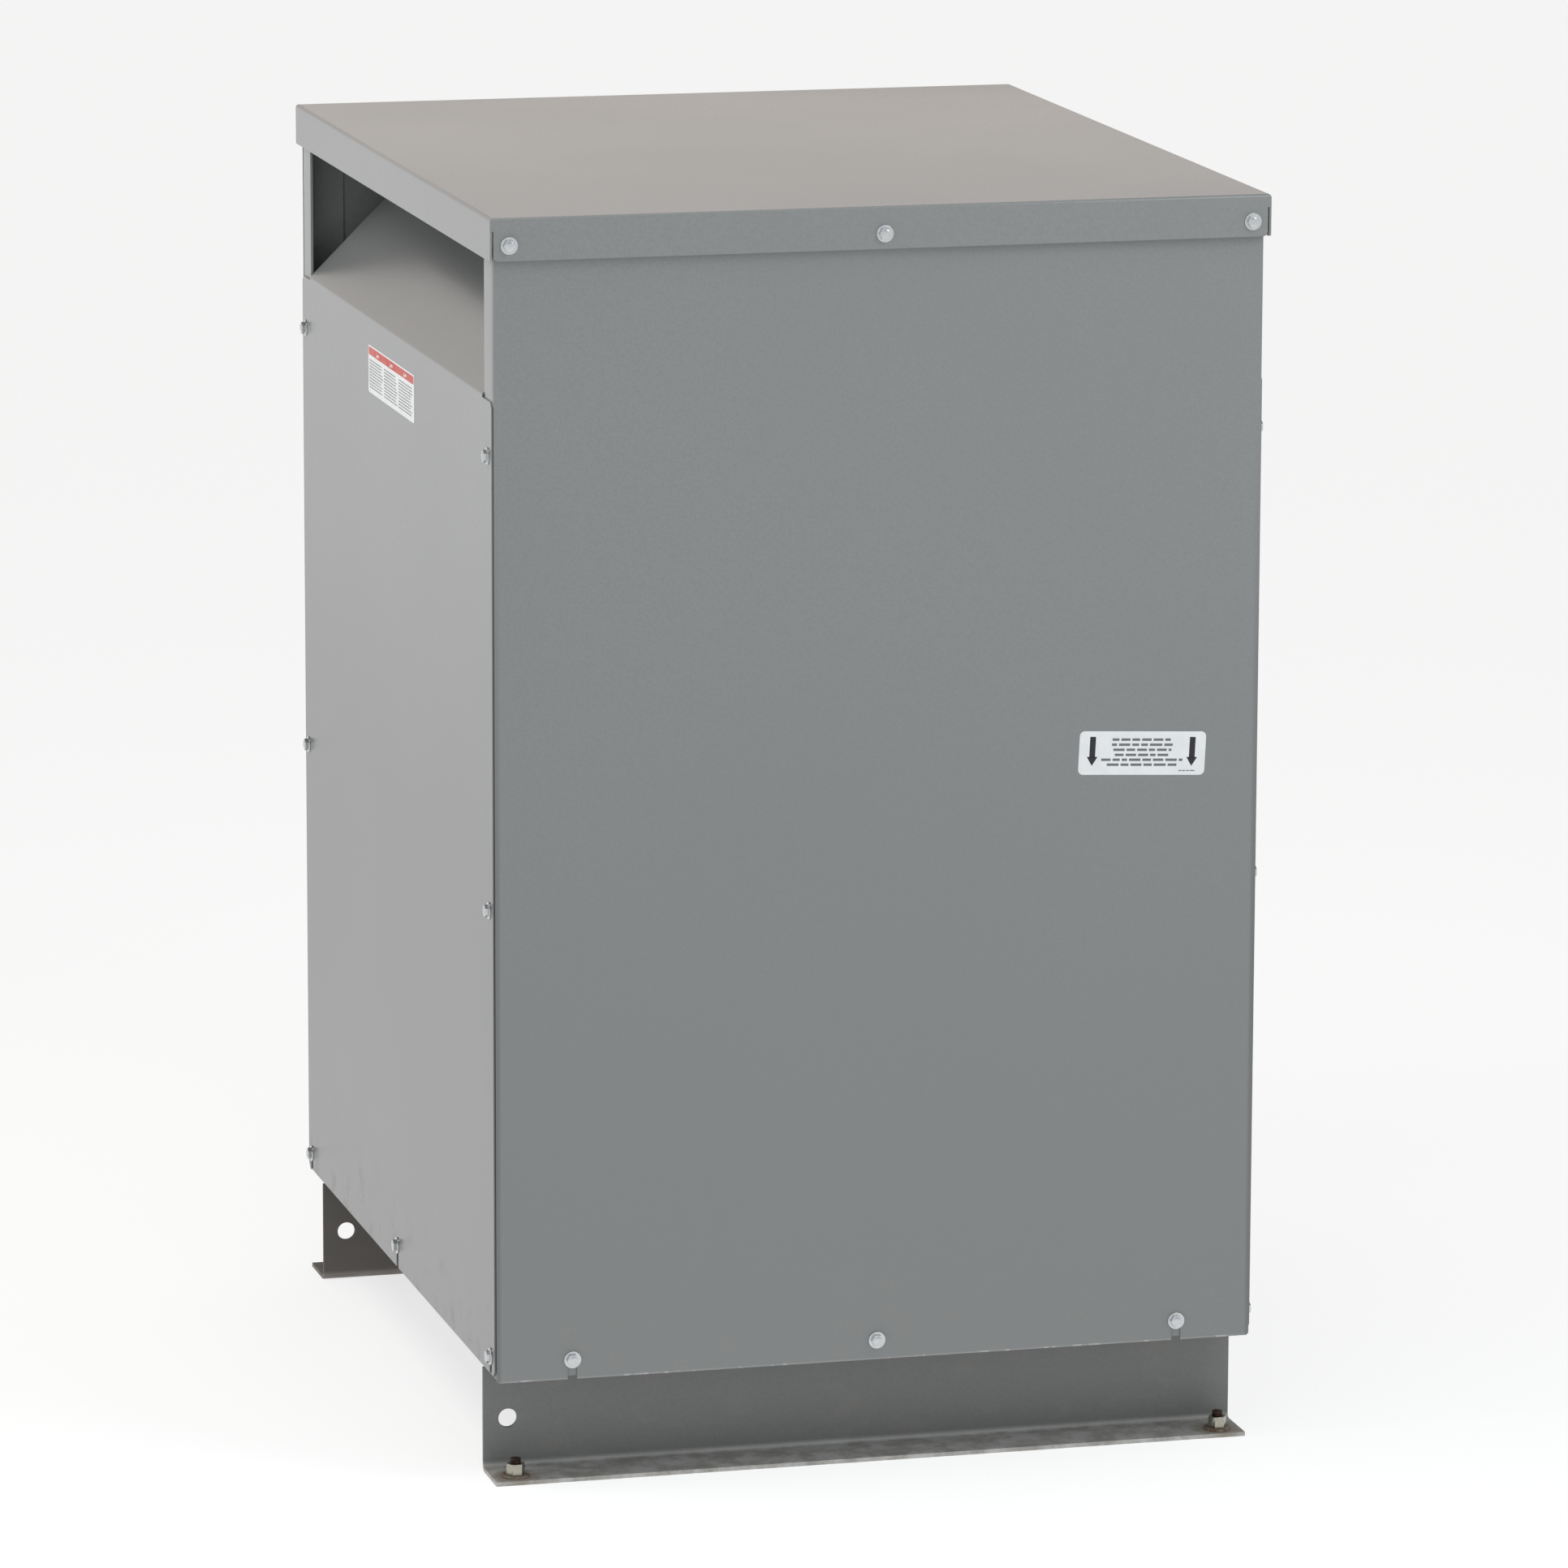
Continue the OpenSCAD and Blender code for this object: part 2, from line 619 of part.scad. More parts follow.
module side_cover(side) color("lightgray") at_side(side) difference() {
    union() {
        translate([frame_x + cover_t / 2, 0, 0]) along_x(cover_t) side_outline();
        along_y(2 * hood_y) hood_section();
    }
    for (s = SIDES, z = [side_screw_z[1], side_screw_z[2]])
        translate([frame_x, s * side_screw_y, z]) rod_x(screw_hole_r, 4 * cover_t);
    for (y = [-side_screw_y, side_screw_y]) open_slot_x(y, side_low_z);
    open_slot_x(0, mid_screw_z);
}

module open_slot_x(y, z) {
    translate([frame_x, y, z]) rod_x(slot_w / 2, 4 * cover_t);
    block([frame_x - cover_t, frame_x + 2 * cover_t], [y - slot_w / 2, y + slot_w / 2],
        [side_bottom_z - 1, z]);
}

module side_cover_screws(side) color("lightgray") {
    for (s = SIDES, z = side_screw_z)
        translate([side * (frame_x + cover_t), s * side_screw_y, z]) face_x(side) washer_screw();
    translate([side * (frame_x + cover_t), 0, mid_screw_z]) face_x(side) washer_screw();
}

module front_label() color("white")
    translate([half_w - front_label_side, -frame_y - cover_t - label_t / 2, front_label_z])
        along_y(label_t) rotate(-front_label_tilt) round_rect(front_label_w, front_label_h, 6);

module side_label() color("white")
    translate([-frame_x - cover_t - label_t / 2, side_label_y, sill_z - side_label_drop])
        along_x(label_t) round_rect(side_label_w, side_label_h, 4);

// ---------------------------------------------------------------- anchors

module at_anchors(z) for (sx = SIDES, sy = SIDES)
    translate([sx * anchor_x, sy * anchor_y, z]) children();

module anchor_washers() color("peru") at_anchors(foot_t) difference() {
    cylinder(d = anchor_washer_d, h = anchor_washer_t);
    cylinder(d = anchor_d + bolt_gap, h = 4 * anchor_washer_t, center = true);
}

module anchor_nuts() color("khaki") at_anchors(foot_t + anchor_washer_t) difference() {
    intersection() {
        hex(anchor_nut_hex, anchor_nut_h);
        cylinder(d1 = anchor_nut_hex * 1.3, d2 = anchor_nut_hex * 1.08, h = anchor_nut_h);
    }
    cylinder(d = anchor_d, h = 4 * anchor_nut_h, center = true);
}

module anchor_studs() color("saddlebrown") at_anchors(0) union() {
    cylinder(d = anchor_d, h = anchor_top_z - 1);
    translate([0, 0, anchor_top_z - 1]) cylinder(d1 = anchor_d, d2 = anchor_d - 2, h = 1);
}

// ---------------------------------------------------------------- core

// Through holes for the clamp bolts at height z
module clamp_bolt_holes(ys, z) for (s = SIDES, y = ys)
    translate([0, s * y, z]) rod_x(clamp_bolt_d / 2 + bolt_gap, 2 * stack_w);

module yoke(z) color("darkslategray") difference() {
    y = leg_pitch + leg_w / 2;
    block([-stack_w / 2, stack_w / 2], [-y, y], [z, z + yoke_h]);
    clamp_bolt_holes([yoke_bolt_y], z + yoke_h / 2);
}

module core_legs() color("darkslategray") for (y = leg_ys)
    block([-stack_w / 2, stack_w / 2], [y - leg_w / 2, y + leg_w / 2], [window_z, window_top_z]);

// Holes through the clamp flange near both ends, at distance y
module flange_holes(y, d, z) for (s = SIDES)
    translate([clamp_bolt_x, s * y, z]) cylinder(d = d + 2 * bolt_gap, h = 6 * clamp_t, center = true);

module lower_clamp(side) color("steelblue") at_side(side) difference() {
    along_y(2 * clamp_y) translate([stack_w / 2, clamp_z])
        angle_profile(clamp_flange_w, clamp_h, clamp_t, clamp_bend_r);
    clamp_bolt_holes([yoke_bolt_y, end_bolt_y], core_z + yoke_h / 2);
    flange_holes(pad_y, hold_bolt_d, clamp_z);
    flange_holes(tie_rod_y, clamp_bolt_d, clamp_z);
}

module upper_clamp(side) color("steelblue") at_side(side) difference() {
    union() {
        along_y(2 * clamp_y) translate([stack_w / 2, upper_clamp_z]) mirror([0, 1])
            angle_profile(clamp_flange_w, clamp_h, clamp_t, clamp_bend_r);
        for (s = SIDES) lifting_ear(s * leg_pitch);
    }
    clamp_bolt_holes([yoke_bolt_y, end_bolt_y], window_top_z + yoke_h / 2);
    flange_holes(tie_rod_y, clamp_bolt_d, upper_clamp_z);
}

// A welded plate with a hole for hoisting the core out
module lifting_ear(y) difference() {
    side = 70;
    thick = 12;
    hole_r = 16;
    hole_drop = 2 * hole_r;
    middle_x = clamp_flange_x - 34;
    block([middle_x - thick / 2, middle_x + thick / 2], [y - side / 2, y + side / 2],
        [upper_clamp_z - eps, upper_clamp_z + side]);
    translate([middle_x, y, upper_clamp_z + side - hole_drop]) rod_x(hole_r, 4 * thick);
}

module clamp_bolts() color("silver") {
    reach = stack_w / 2 + clamp_t;
    for (z = [core_z, window_top_z], y = [-end_bolt_y, -yoke_bolt_y, yoke_bolt_y, end_bolt_y])
        translate([0, y, z + yoke_h / 2]) {
            rod_x(clamp_bolt_d / 2, 2 * reach + 36);
            for (s = SIDES) translate([s * reach, 0, 0]) face_x(s) {
                cylinder(d = 2 * clamp_bolt_d, h = 3);
                translate([0, 0, 3]) hex(1.5 * clamp_bolt_d, 10);
            }
        }
}

module tie_rods() color("silver") for (sx = SIDES, sy = SIDES)
    translate([sx * clamp_bolt_x, sy * tie_rod_y, 0]) {
        translate([0, 0, clamp_z - 16])
            cylinder(d = clamp_bolt_d, h = upper_clamp_z - clamp_z + 36);
        translate([0, 0, clamp_z - 12]) hex(1.5 * clamp_bolt_d, 12);
        translate([0, 0, clamp_z + clamp_t]) hex(1.5 * clamp_bolt_d, 10);
        translate([0, 0, upper_clamp_z]) hex(1.5 * clamp_bolt_d, 12);
        translate([0, 0, upper_clamp_z - clamp_t - 10]) hex(1.5 * clamp_bolt_d, 10);
    }

module isolation_pads() color("black") for (sx = SIDES, sy = SIDES)
    translate([sx * clamp_bolt_x, sy * pad_y, shelf_z]) difference() {
        linear_extrude(pad_h) round_rect(pad_w, pad_w - 20, 6);
        cylinder(d = hold_bolt_d + 2 * bolt_gap, h = 3 * pad_h, center = true);
    }

module hold_down_bolts() color("silver") for (sx = SIDES, sy = SIDES)
    translate([sx * clamp_bolt_x, sy * pad_y, 0]) {
        low = foot_h - foot_t;
        top = clamp_z + clamp_t;
        translate([0, 0, low - 16]) cylinder(d = hold_bolt_d, h = top - low + 17);
        translate([0, 0, top]) hex(1.5 * hold_bolt_d, 8);
        translate([0, 0, low - 10]) hex(1.5 * hold_bolt_d, 10);
    }

// ---------------------------------------------------------------- windings

// Outline around a core leg, a distance gap out from it
module coil_outline(gap) {
    round_rect(stack_w + 2 * gap, leg_w + 2 * gap, coil_corner_r + gap - leg_gap);
}

module winding(y, inner, outer) translate([0, y, winding_z])
    linear_extrude(winding_top_z - winding_z) difference() {
        coil_outline(outer);
        coil_outline(inner);
    }

module lv_winding(i) color("tan") winding(leg_ys[i], lv_in, lv_out);

module hv_winding(i) color("burlywood") winding(leg_ys[i], hv_in, hv_out);

module duct_sticks() color("wheat") for (y = leg_ys) {
    flat_x = stack_w / 2 - coil_corner_r;
    flat_y = leg_w / 2 - coil_corner_r;
    for (s = SIDES, k = [-0.6, 0, 0.6]) {
        duct_x = s * (stack_w / 2 + lv_out + duct_w / 2);
        duct_y = y + s * (leg_w / 2 + lv_out + duct_w / 2);
        translate([duct_x, y + k * flat_y, winding_z]) stick(duct_w, stick_w);
        translate([k * flat_x, duct_y, winding_z]) stick(stick_w, duct_w);
    }
}

module stick(w, d) linear_extrude(winding_top_z - winding_z) square([w, d], center = true);

module coil_blocks() color("wheat") for (s = SIDES, y = leg_ys) {
    x0 = stack_w / 2 + clamp_bend_r;
    x1 = clamp_flange_x;
    ys = [y + block_y - block_w / 2, y + block_y + block_w / 2];
    at_side(s) {
        block([x0, x1], ys, [clamp_z + clamp_t, winding_z]);
        block([x0, x1], ys, [winding_top_z, upper_clamp_z - clamp_t]);
    }
}

// ---------------------------------------------------------------- connections

// A lead that rises from a winding at x, crosses outwards and drops to a drilled pad, drawn for +X
module riser_bar(x, y, low_z) difference() {
    top = winding_top_z + lead_rise + bar_t;
    outer = board_x + board_t + bar_t;
    ys = [y + lead_y, y + lead_y + bar_w];
    union() {
        block([x - bar_t / 2, x + bar_t / 2], ys, [winding_top_z, top]);
        block([x - bar_t / 2, outer], ys, [top - bar_t, top]);
        block([outer - bar_t, outer], ys, [low_z, top]);
    }
    for (k = [0, 1]) translate([outer, y + lead_y + bar_w / 2, low_z + pad_hole_end + k * pad_hole_pitch])
        rod_x(pad_hole_d / 2, 4 * bar_t);
}

module lv_bus_bars() color("chocolate") at_side(LEFT) for (y = leg_ys)
    riser_bar(lv_lead_x, y, lv_pad_z);

module hv_bus_bars() color("chocolate") for (y = leg_ys)
    riser_bar(hv_lead_x, y, hv_pad_z);

// The neutral bar joins the lower ends of the inner windings
module neutral_bus() color("chocolate") at_side(LEFT) difference() {
    near = lv_lead_x - bar_t / 2;
    union() {
        for (y = leg_ys) {
            block([near, near + bar_t], [y + lead_y, y + lead_y + bar_w], [neutral_z, winding_z]);
            block([near, board_x], [y + lead_y, y + lead_y + bar_w], [neutral_z, neutral_z + bar_t]);
        }
        block([board_x - bar_t, board_x], [-row_y, row_y], [neutral_z, neutral_z + bar_w]);
    }
    for (k = [0, 1]) translate([board_x, -row_y + pad_hole_end + k * pad_hole_pitch, neutral_z + bar_w / 2])
        rod_x(pad_hole_d / 2, 4 * bar_t);
}

module lv_terminal_board() color("firebrick") difference() {
    block([-board_x - board_t, -board_x], [-board_l / 2, board_l / 2], lv_board_z);
    for (y = leg_ys, k = [0, 1])
        translate([-board_x, y + lead_y + bar_w / 2, lv_pad_z + pad_hole_end + k * pad_hole_pitch])
            rod_x(pad_hole_d / 2, 4 * board_t);
    for (k = [0, 1]) translate([-board_x, -row_y + pad_hole_end + k * pad_hole_pitch, neutral_z + bar_w / 2])
        rod_x(pad_hole_d / 2, 4 * board_t);
}

module hv_terminal_board() color("firebrick")
    block([board_x, board_x + board_t], [-board_l / 2, board_l / 2], hv_board_z);

module board_brackets() color("steelblue") for (s = SIDES) at_end(s) {
    ys = [bracket_y, bracket_y + bracket_t];
    block([-board_x - board_t, -clamp_bolt_x - 2], ys, [clamp_z + clamp_t, lv_board_z[1]]);
    block([clamp_bolt_x + 2, board_x + board_t], ys, [hv_board_z[0], upper_clamp_z - clamp_t]);
}

module tap_boards() color("firebrick") for (y = leg_ys)
    block([tap_x, tap_x + tap_board_t], [y - min(tap_board_w, leg_w) / 2, y + min(tap_board_w, leg_w) / 2],
        [tap_z - tap_rows * tap_pitch / 2 - 10, tap_z + tap_rows * tap_pitch / 2 + 10]);

module tap_studs() color("gold") for (y = leg_ys, dy = tap_ys, k = [0:tap_rows - 1])
    translate([tap_x + tap_board_t, y + dy, tap_z + (k - (tap_rows - 1) / 2) * tap_pitch]) face_x(RIGHT) {
        cylinder(d = tap_stud_d, h = 24);
        cylinder(d = 2 * tap_stud_d, h = 3);
        translate([0, 0, 3 + link_t]) hex(1.6 * tap_stud_d, 6);
    }

// One link a phase joins the two middle studs
module tap_links() color("chocolate") for (y = leg_ys) difference() {
    x = tap_x + tap_board_t + 3;
    z = tap_z + tap_pitch / 2;
    translate([x + link_t / 2, y, z]) along_x(link_t)
        round_rect(tap_ys[1] - tap_ys[0] + 22, 22, 10);
    for (dy = tap_ys) translate([x, y + dy, z]) rod_x(tap_stud_d / 2 + bolt_gap / 2, 4 * link_t);
}

module ground_strap() color("chocolate")
    block([-clamp_flange_x + 4, -clamp_flange_x + 7], [-tie_rod_y - 15, -tie_rod_y + 15],
        [shelf_z, clamp_z]);

// ---------------------------------------------------------------- assembly

foot_rail(FRONT);  // front_foot_rail
foot_rail(REAR);  // rear_foot_rail
base_rail(FRONT);  // front_base_rail
base_rail(REAR);  // rear_base_rail
side_base_rail(LEFT);  // left_base_rail
side_base_rail(RIGHT);  // right_base_rail
post(LEFT, FRONT);  // front_left_post
post(RIGHT, FRONT);  // front_right_post
post(LEFT, REAR);  // rear_left_post
post(RIGHT, REAR);  // rear_right_post
end_top_rail(FRONT);  // front_top_rail
end_top_rail(REAR);  // rear_top_rail
side_top_rail(LEFT);  // left_top_rail
side_top_rail(RIGHT);  // right_top_rail
frame_bolts();
bottom_screen();
lid();
lid_screws();
end_cover(FRONT);  // front_cover
end_cover_screws(FRONT);  // front_cover_screws
front_label();
end_cover(REAR);  // rear_cover
end_cover_screws(REAR);  // rear_cover_screws
side_cover(LEFT);  // left_cover
side_cover_screws(LEFT);  // left_cover_screws
side_label();
side_cover(RIGHT);  // right_cover
side_cover_screws(RIGHT);  // right_cover_screws
anchor_studs();
anchor_nuts();
anchor_washers();
yoke(core_z);  // lower_yoke
yoke(window_top_z);  // upper_yoke
core_legs();
lower_clamp(LEFT);  // left_lower_clamp
lower_clamp(RIGHT);  // right_lower_clamp
upper_clamp(LEFT);  // left_upper_clamp
upper_clamp(RIGHT);  // right_upper_clamp
clamp_bolts();
tie_rods();
isolation_pads();
hold_down_bolts();
lv_winding(0);  // lv_winding_a
lv_winding(1);  // lv_winding_b
lv_winding(2);  // lv_winding_c
hv_winding(0);  // hv_winding_a
hv_winding(1);  // hv_winding_b
hv_winding(2);  // hv_winding_c
duct_sticks();
coil_blocks();
lv_bus_bars();
neutral_bus();
lv_terminal_board();
hv_bus_bars();
hv_terminal_board();
board_brackets();
tap_boards();
tap_studs();
tap_links();
ground_strap();
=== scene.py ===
import json
import math
import random

import bmesh
import bpy
from mathutils import Matrix, Vector


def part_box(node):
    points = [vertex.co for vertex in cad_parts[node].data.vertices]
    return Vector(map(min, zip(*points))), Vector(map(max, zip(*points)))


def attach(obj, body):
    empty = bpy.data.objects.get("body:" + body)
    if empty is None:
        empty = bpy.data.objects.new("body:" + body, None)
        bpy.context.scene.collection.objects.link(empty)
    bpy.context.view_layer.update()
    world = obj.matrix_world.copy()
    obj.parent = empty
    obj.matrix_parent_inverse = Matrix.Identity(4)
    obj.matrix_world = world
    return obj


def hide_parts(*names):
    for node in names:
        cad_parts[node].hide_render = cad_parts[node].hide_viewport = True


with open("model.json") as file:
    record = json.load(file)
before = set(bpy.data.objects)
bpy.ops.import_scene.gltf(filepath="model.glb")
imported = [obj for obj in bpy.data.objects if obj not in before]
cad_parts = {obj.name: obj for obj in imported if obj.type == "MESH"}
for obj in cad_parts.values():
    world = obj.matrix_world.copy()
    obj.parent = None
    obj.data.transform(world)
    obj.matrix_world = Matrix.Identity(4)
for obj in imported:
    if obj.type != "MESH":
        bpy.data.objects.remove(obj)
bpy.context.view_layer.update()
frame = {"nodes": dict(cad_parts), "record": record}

# ------------------------------------------------------------------ places and sizes, in metres

MM = 0.001
FRONT_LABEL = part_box("front_label")
SIDE_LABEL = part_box("side_label")
FRONT_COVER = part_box("front_cover")
SIDE_FACE_X = -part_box("left_cover")[0].x            # outer face of the side covers
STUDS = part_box("anchor_studs")
COVER_FACE_Y = -FRONT_COVER[0].y                    # outer face of the front and rear covers
COVER_RIM_Z = FRONT_COVER[0].z                      # their lower edge
STUD_RADIUS = 6.35 * MM
FOOT_CREASE_Z = 7.2 * MM                            # the bend between the foot's flange and its web
FLANGE_TOP_Z = (4.5 * MM, 13 * MM)                  # all flange below the first, all web above the second


def middle(box):
    """The middle of a (low, high) box."""
    return (box[0] + box[1]) / 2


# ------------------------------------------------------------------ camera, light and floor

CAMERA_AT = Vector((-2.637, -10.148, 2.809))
CAMERA_AZIMUTH = math.radians(14.70)     # turned from +Y towards +X
CAMERA_DOWN = math.radians(11.37)
CAMERA_ROLL = math.radians(0.18)
LENS_MM = 204.3                          # on a 36 mm sensor

WALL_LIGHT = 0.92
REAR_WALL_GAIN = 0.90                    # the rear wall's light as a share of the front wall's
CEILING_LIGHT = 0.30
FRONT_TINT = (0.935, 0.985, 1.0, 1)
REAR_TINT = (1.0, 0.920, 0.862, 1)
FLOOR_GLOW = 0.69
FLOOR_HALF_SIZE = 60


def add_camera():
    forward = Vector((
        math.sin(CAMERA_AZIMUTH) * math.cos(CAMERA_DOWN),
        math.cos(CAMERA_AZIMUTH) * math.cos(CAMERA_DOWN),
        -math.sin(CAMERA_DOWN),
    ))
    level_right = forward.cross(Vector((0, 0, 1))).normalized()
    right = Matrix.Rotation(-CAMERA_ROLL, 3, forward) @ level_right
    up = right.cross(forward)
    data = bpy.data.cameras.new("camera")
    data.lens = LENS_MM
    data.sensor_width = 36
    data.clip_end = 200
    camera = bpy.data.objects.new("camera", data)
    axes = Matrix((right, up, -forward)).transposed()
    camera.matrix_world = Matrix.Translation(CAMERA_AT) @ axes.to_4x4()
    bpy.context.scene.collection.objects.link(camera)
    bpy.context.scene.camera = camera


def set_range(node, low, high, to_low, to_high):
    """Fills in a Map Range node."""
    for key, number in zip(("From Min", "From Max", "To Min", "To Max"), (low, high, to_low, to_high)):
        node.inputs[key].default_value = number


def add_world():
    """A pale studio: bright walls that are warmer behind the object, under a dimmer ceiling."""
    world = bpy.data.worlds.new("studio")
    world.use_nodes = True
    tree = world.node_tree
    direction = tree.nodes.new("ShaderNodeSeparateXYZ")
    tree.links.new(tree.nodes.new("ShaderNodeTexCoord").outputs["Generated"], direction.inputs[0])

    def ramp(axis, low, high, to_low, to_high):
        made = tree.nodes.new("ShaderNodeMapRange")
        made.interpolation_type = "SMOOTHSTEP"
        tree.links.new(direction.outputs[axis], made.inputs["Value"])
        set_range(made, low, high, to_low, to_high)
        return made.outputs["Result"]

    tint = tree.nodes.new("ShaderNodeMix")
    tint.data_type = "RGBA"
    tint.inputs["A"].default_value = FRONT_TINT
    tint.inputs["B"].default_value = REAR_TINT
    tree.links.new(ramp("Y", -0.5, 0.9, 0.0, 1.0), tint.inputs["Factor"])
    background = tree.nodes["Background"]
    tree.links.new(tint.outputs["Result"], background.inputs["Color"])
    strength = tree.nodes.new("ShaderNodeMath")
    strength.operation = "MULTIPLY"
    tree.links.new(ramp("Z", 0.05, 0.75, WALL_LIGHT, CEILING_LIGHT), strength.inputs[0])
    tree.links.new(ramp("Y", 0.2, 0.9, 1.0, REAR_WALL_GAIN), strength.inputs[1])
    tree.links.new(strength.outputs[0], background.inputs["Strength"])
    bpy.context.scene.world = world


def add_softbox(name, at, aim, power, colour, size):
    """A square soft light at a place, turned towards the point aim."""
    data = bpy.data.lights.new(name, "AREA")
    data.shape = "SQUARE"
    data.size = size
    data.energy = power
    data.color = colour
    box = bpy.data.objects.new(name, data)
    box.location = at
    box.rotation_euler = (Vector(at) - Vector(aim)).to_track_quat("Z", "Y").to_euler()
    bpy.context.scene.collection.objects.link(box)


def add_light():
    add_world()
    add_softbox("overhead_softbox", at=(0.1, -0.95, 3.2), aim=(-0.1, -0.4, 1.3),
                power=8, colour=(0.97, 0.99, 1.0), size=1.9)
    add_softbox("front_softbox", at=(1.3, -2.0, 2.8), aim=(0.3, -0.53, 1.3),
                power=12, colour=(0.90, 0.97, 1.0), size=0.9)
    add_softbox("left_softbox", at=(-1.6, -0.3, 2.9), aim=(-0.45, 0.0, 1.35),
                power=16, colour=(1.0, 0.985, 0.96), size=1.0)
    bpy.context.scene.view_settings.view_transform = "Standard"


def add_floor():
    """A pale studio floor that glows a little, so that shadows on it stay light."""
    mesh = bpy.data.meshes.new("floor")
    signs = ((-1, -1), (1, -1), (1, 1), (-1, 1))
    corners = [(x * FLOOR_HALF_SIZE, y * FLOOR_HALF_SIZE, 0) for x, y in signs]
    mesh.from_pydata(corners, [], [(0, 1, 2, 3)])
    floor = bpy.data.objects.new("floor", mesh)
    bpy.context.scene.collection.objects.link(floor)
    finish = bpy.data.materials.new("floor_white")
    finish.use_nodes = True
    shader = finish.node_tree.nodes["Principled BSDF"]
    shader.inputs["Base Color"].default_value = (0.55, 0.55, 0.55, 1)
    shader.inputs["Roughness"].default_value = 0.9
    shader.inputs["Specular IOR Level"].default_value = 0.0
    shader.inputs["Emission Color"].default_value = (1.0, 1.0, 1.0, 1)
    shader.inputs["Emission Strength"].default_value = FLOOR_GLOW
    mesh.materials.append(finish)


# ------------------------------------------------------------------ material helpers

class Finish:
    """A procedural material in object coordinates, which are metres in the shared frame."""

    def __init__(self, name, rough=0.5, metal=0.0, specular=0.5):
        self.material = bpy.data.materials.new(name)
        self.material.use_nodes = True
        self.tree = self.material.node_tree
        self.shader = self.tree.nodes["Principled BSDF"]
        self.shader.inputs["Roughness"].default_value = rough
        self.shader.inputs["Metallic"].default_value = metal
        self.shader.inputs["Specular IOR Level"].default_value = specular
        self.where = self.node("ShaderNodeTexCoord").outputs["Object"]

    def node(self, kind, **settings):
        made = self.tree.nodes.new(kind)
        for key, value in settings.items():
            setattr(made, key, value)
        return made

    def put(self, socket, value):
        """Links value into socket if it is an output, or else sets it."""
        if isinstance(value, bpy.types.NodeSocket):
            self.tree.links.new(value, socket)
        else:
            socket.default_value = value

    def noise(self, scale, detail=3, rough=0.5, stretch=None, warp=0.0):
        made = self.node("ShaderNodeTexNoise")
        made.inputs["Scale"].default_value = scale
        made.inputs["Detail"].default_value = detail
        made.inputs["Roughness"].default_value = rough
        made.inputs["Distortion"].default_value = warp
        self.put(made.inputs["Vector"], self.scaled(stretch) if stretch else self.where)
        return made.outputs["Fac"]

    def scaled(self, scale):
        made = self.node("ShaderNodeMapping")
        made.inputs["Scale"].default_value = scale
        self.put(made.inputs["Vector"], self.where)
        return made.outputs["Vector"]

    def cells(self, scale, stretch=None, feature="F1", output="Distance"):
        made = self.node("ShaderNodeTexVoronoi", feature=feature)
        made.inputs["Scale"].default_value = scale
        self.put(made.inputs["Vector"], self.scaled(stretch) if stretch else self.where)
        return made.outputs[output]

    def axis(self, letter):
        made = self.node("ShaderNodeSeparateXYZ")
        self.put(made.inputs[0], self.where)
        return made.outputs[letter]

    def math(self, operation, a, b=0.0, clamp=False):
        made = self.node("ShaderNodeMath", operation=operation, use_clamp=clamp)
        self.put(made.inputs[0], a)
        self.put(made.inputs[1], b)
        return made.outputs[0]

    def span(self, value, low, high, to_low=0.0, to_high=1.0):
        """Maps value from low..high to to_low..to_high, clamped, with smooth ends."""
        made = self.node("ShaderNodeMapRange", interpolation_type="SMOOTHSTEP")
        self.put(made.inputs["Value"], value)
        set_range(made, low, high, to_low, to_high)
        return made.outputs["Result"]

    def blend(self, amount, a, b, mode="MIX"):
        made = self.node("ShaderNodeMix", data_type="RGBA", blend_type=mode)
        self.put(made.inputs["Factor"], amount)
        self.put(made.inputs["A"], colour(a))
        self.put(made.inputs["B"], colour(b))
        return made.outputs["Result"]

    def colour(self, value):
        self.put(self.shader.inputs["Base Color"], value)

    def rough(self, value):
        self.put(self.shader.inputs["Roughness"], value)

    def bump(self, *layers):
        """Each layer is (height, depth in metres)."""
        last = None
        for height, depth in layers:
            made = self.node("ShaderNodeBump")
            made.inputs["Strength"].default_value = 1.0
            made.inputs["Distance"].default_value = depth
            self.put(made.inputs["Height"], height)
            if last:
                self.put(made.inputs["Normal"], last)
            last = made.outputs["Normal"]
        self.put(self.shader.inputs["Normal"], last)


def shade(tone, amount):
    """A colour made lighter or darker."""
    return tuple(min(1.0, c * amount) for c in tone)


def colour(value):
    return (*value, 1.0) if isinstance(value, tuple) and len(value) == 3 else value


# ------------------------------------------------------------------ finishes

